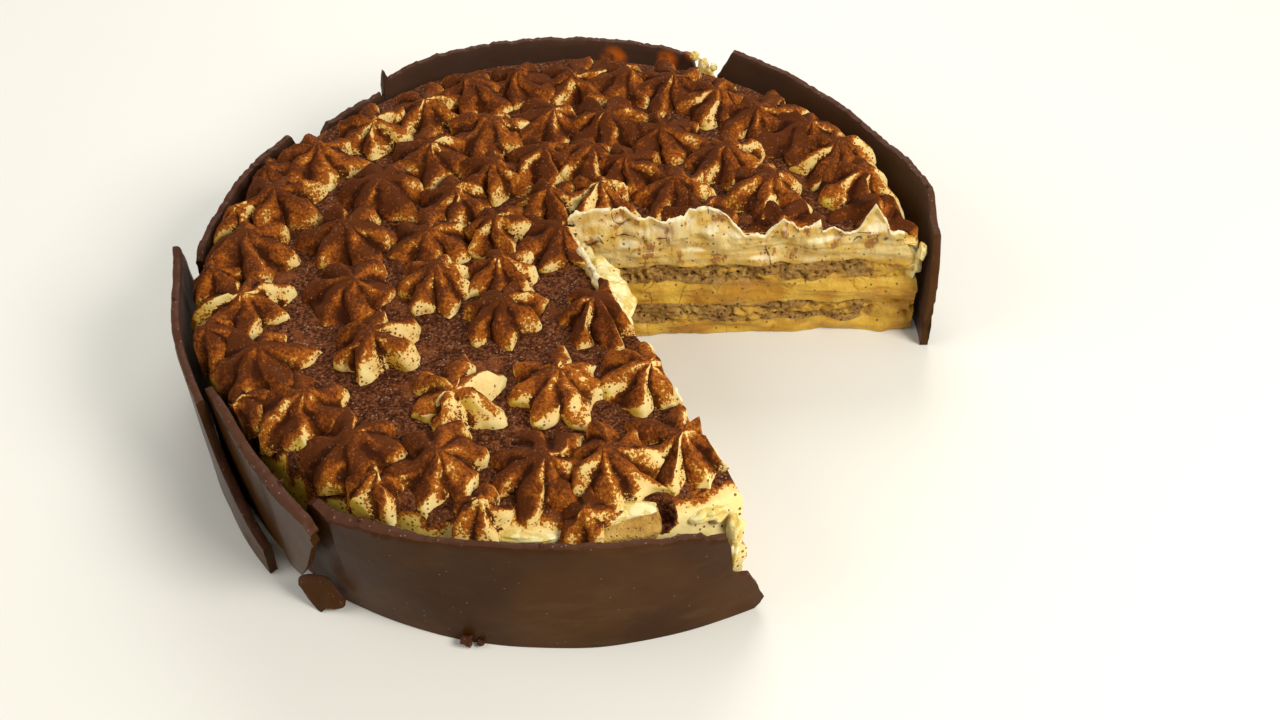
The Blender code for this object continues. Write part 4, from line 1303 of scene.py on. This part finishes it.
def clump_shape(seed):
    """Crumble one small clump with a few flat sides."""
    draw = random.Random(seed)
    points = []
    for ring in (1, 2):
        for step in range(5):
            height = -0.35 if ring == 1 else 0.40
            points.append(polar(draw.uniform(0.7, 1.1), 72.0 * step + 36.0 * ring, height))
    return rings(points, 5, Vector((0.0, 0.0, -0.9)), Vector((0.0, 0.0, 0.9)))


def crumb_finish():
    """Mix clumped cocoa: dark and dry, with lighter grains."""
    crumb = Finish("clumped_cocoa", 0.85, 0.0, 0.0, 0.3)
    body = crumb.ramp(crumb.cloud(0.0008, 3.0), ((0.38, COCOA_DARK), (0.52, COCOA), (0.66, COCOA_RUST)))
    return crumb.done(body, crumb.cloud(0.001) * 0.2 + 0.7, crumb.cloud(0.0003, 3.0), 0.0001, 0.8)


def clump_places():
    """Choose where the clumps lie: on points of the dusted cream that face up."""
    draw = random.Random(5)
    spots = []
    for name in ("stars_inside", "stars_at_rim", "stars_cut_through", "cream_coat"):
        for vertex in bpy.data.objects[name].data.vertices:
            if vertex.normal.z > 0.45 and vertex.co.z > CAKE_HEIGHT - 0.004:
                spots.append(vertex.co - Vector(MOVED))
    places = []
    for spot in draw.sample(spots, min(CLUMPS, len(spots))):
        size = draw.uniform(0.5, 1.0) ** 2 * 1.6
        turn = tuple(draw.uniform(0.0, math.tau) for _ in range(3))
        places.append((spot.copy(), turn, (size, size, size), draw.randrange(4), 0.0))
    return places


cocoa = crumb_finish()
crumbled = [new_piece(f"clump_{seed}", *clump_shape(seed), cocoa, 20) for seed in range(4)]
clumps = keep_together("clump", crumbled)
scatter = repeat_tree("scatter_clumps", clumps, cocoa, CLUMP_SIZE, CLUMP_SIZE)
place_on_cake(repeat("cocoa_clumps", scatter, clump_places(), CLUMP_SIZE, CLUMP_SIZE), "dusted_cream")
splinters = []
for seed, (radius, degrees, height, size) in enumerate(SPLINTERS):
    sides = (0.8 * size, size, 0.6 * size)
    shape = ball_shape(polar(radius, degrees, height), 30 * seed, sides, 9 * seed, 0.5, 10)
    splinters.append(new_piece(f"splinter_{seed}", *shape, chocolate, 25))
place_on_cake(join("chocolate_splinters", splinters), "chocolate")

for leftover in [gap] + list(nozzles.objects) + list(clumps.objects):
    bpy.data.objects.remove(leftover)


# The table, the light and the camera. A pale table, one broad soft window from the right front, a
# softer one from the left, one behind, and a bright room around.
TABLE = (0.78, 0.77, 0.71)
TABLE_PATCH = (0.80, 0.79, 0.74)
WINDOWS = (
    ("window_right", (0.50, -0.36, 0.52), 0.32, 5.6, (1.0, 0.96, 0.88)),
    ("window_left", (-0.60, -0.10, 0.50), 0.50, 2.0, (1.0, 0.98, 0.94)),
    ("window_behind", (0.05, 0.62, 0.50), 0.50, 3.4, (1.0, 0.98, 0.94)),
)
ROOM_LIGHT = 0.33
CAMERA_PLACE = (0.0185, -0.30126, 0.28989)
CAMERA_DOWN = 0.7747
CAMERA_ROLL = -0.0217
CAMERA_LENS = 1500 / 1280 * 36

bpy.ops.mesh.primitive_plane_add(size=8.0, location=(0.0, 0.0, -0.0002))
table = bpy.context.object
table.name = "table"
wood = Finish("table_top", 0.6, 0.0, 0.0, 0.3)
table_colour = wood.blend(wood.cloud(0.15, 2.0), TABLE, TABLE_PATCH)
table.data.materials.append(wood.done(table_colour, None, wood.cloud(0.01), 0.0002, 0.1))

for name, place, size, power, colour in WINDOWS:
    lamp = bpy.data.lights.new(name, "AREA")
    lamp.size = size
    lamp.energy = power
    lamp.color = colour
    holder = add_object(name, lamp)
    holder.location = place
    holder.rotation_euler = (Vector((0.0, 0.0, 0.02)) - Vector(place)).to_track_quat("-Z", "Y").to_euler()

room = bpy.data.worlds.new("bright_room")
room.use_nodes = True
room.node_tree.nodes["Background"].inputs["Color"].default_value = (1.0, 0.99, 0.96, 1.0)
room.node_tree.nodes["Background"].inputs["Strength"].default_value = ROOM_LIGHT
bpy.context.scene.world = room

lens = bpy.data.cameras.new("camera")
lens.lens = CAMERA_LENS
lens.sensor_width = 36.0
lens.clip_start = 0.01
camera = add_object("camera", lens)
right = Vector((1.0, 0.0, 0.0))
ahead = Vector((0.0, math.cos(CAMERA_DOWN), -math.sin(CAMERA_DOWN)))
up = Vector((0.0, math.sin(CAMERA_DOWN), math.cos(CAMERA_DOWN)))
rolled_right = math.cos(CAMERA_ROLL) * right + math.sin(CAMERA_ROLL) * up
rolled_up = math.cos(CAMERA_ROLL) * up - math.sin(CAMERA_ROLL) * right
turned = Matrix((rolled_right, rolled_up, -ahead)).transposed().to_4x4()
camera.matrix_world = Matrix.Translation(Vector(CAMERA_PLACE) + Vector(MOVED)) @ turned
bpy.context.scene.camera = camera
bpy.context.scene.view_settings.view_transform = "Standard"
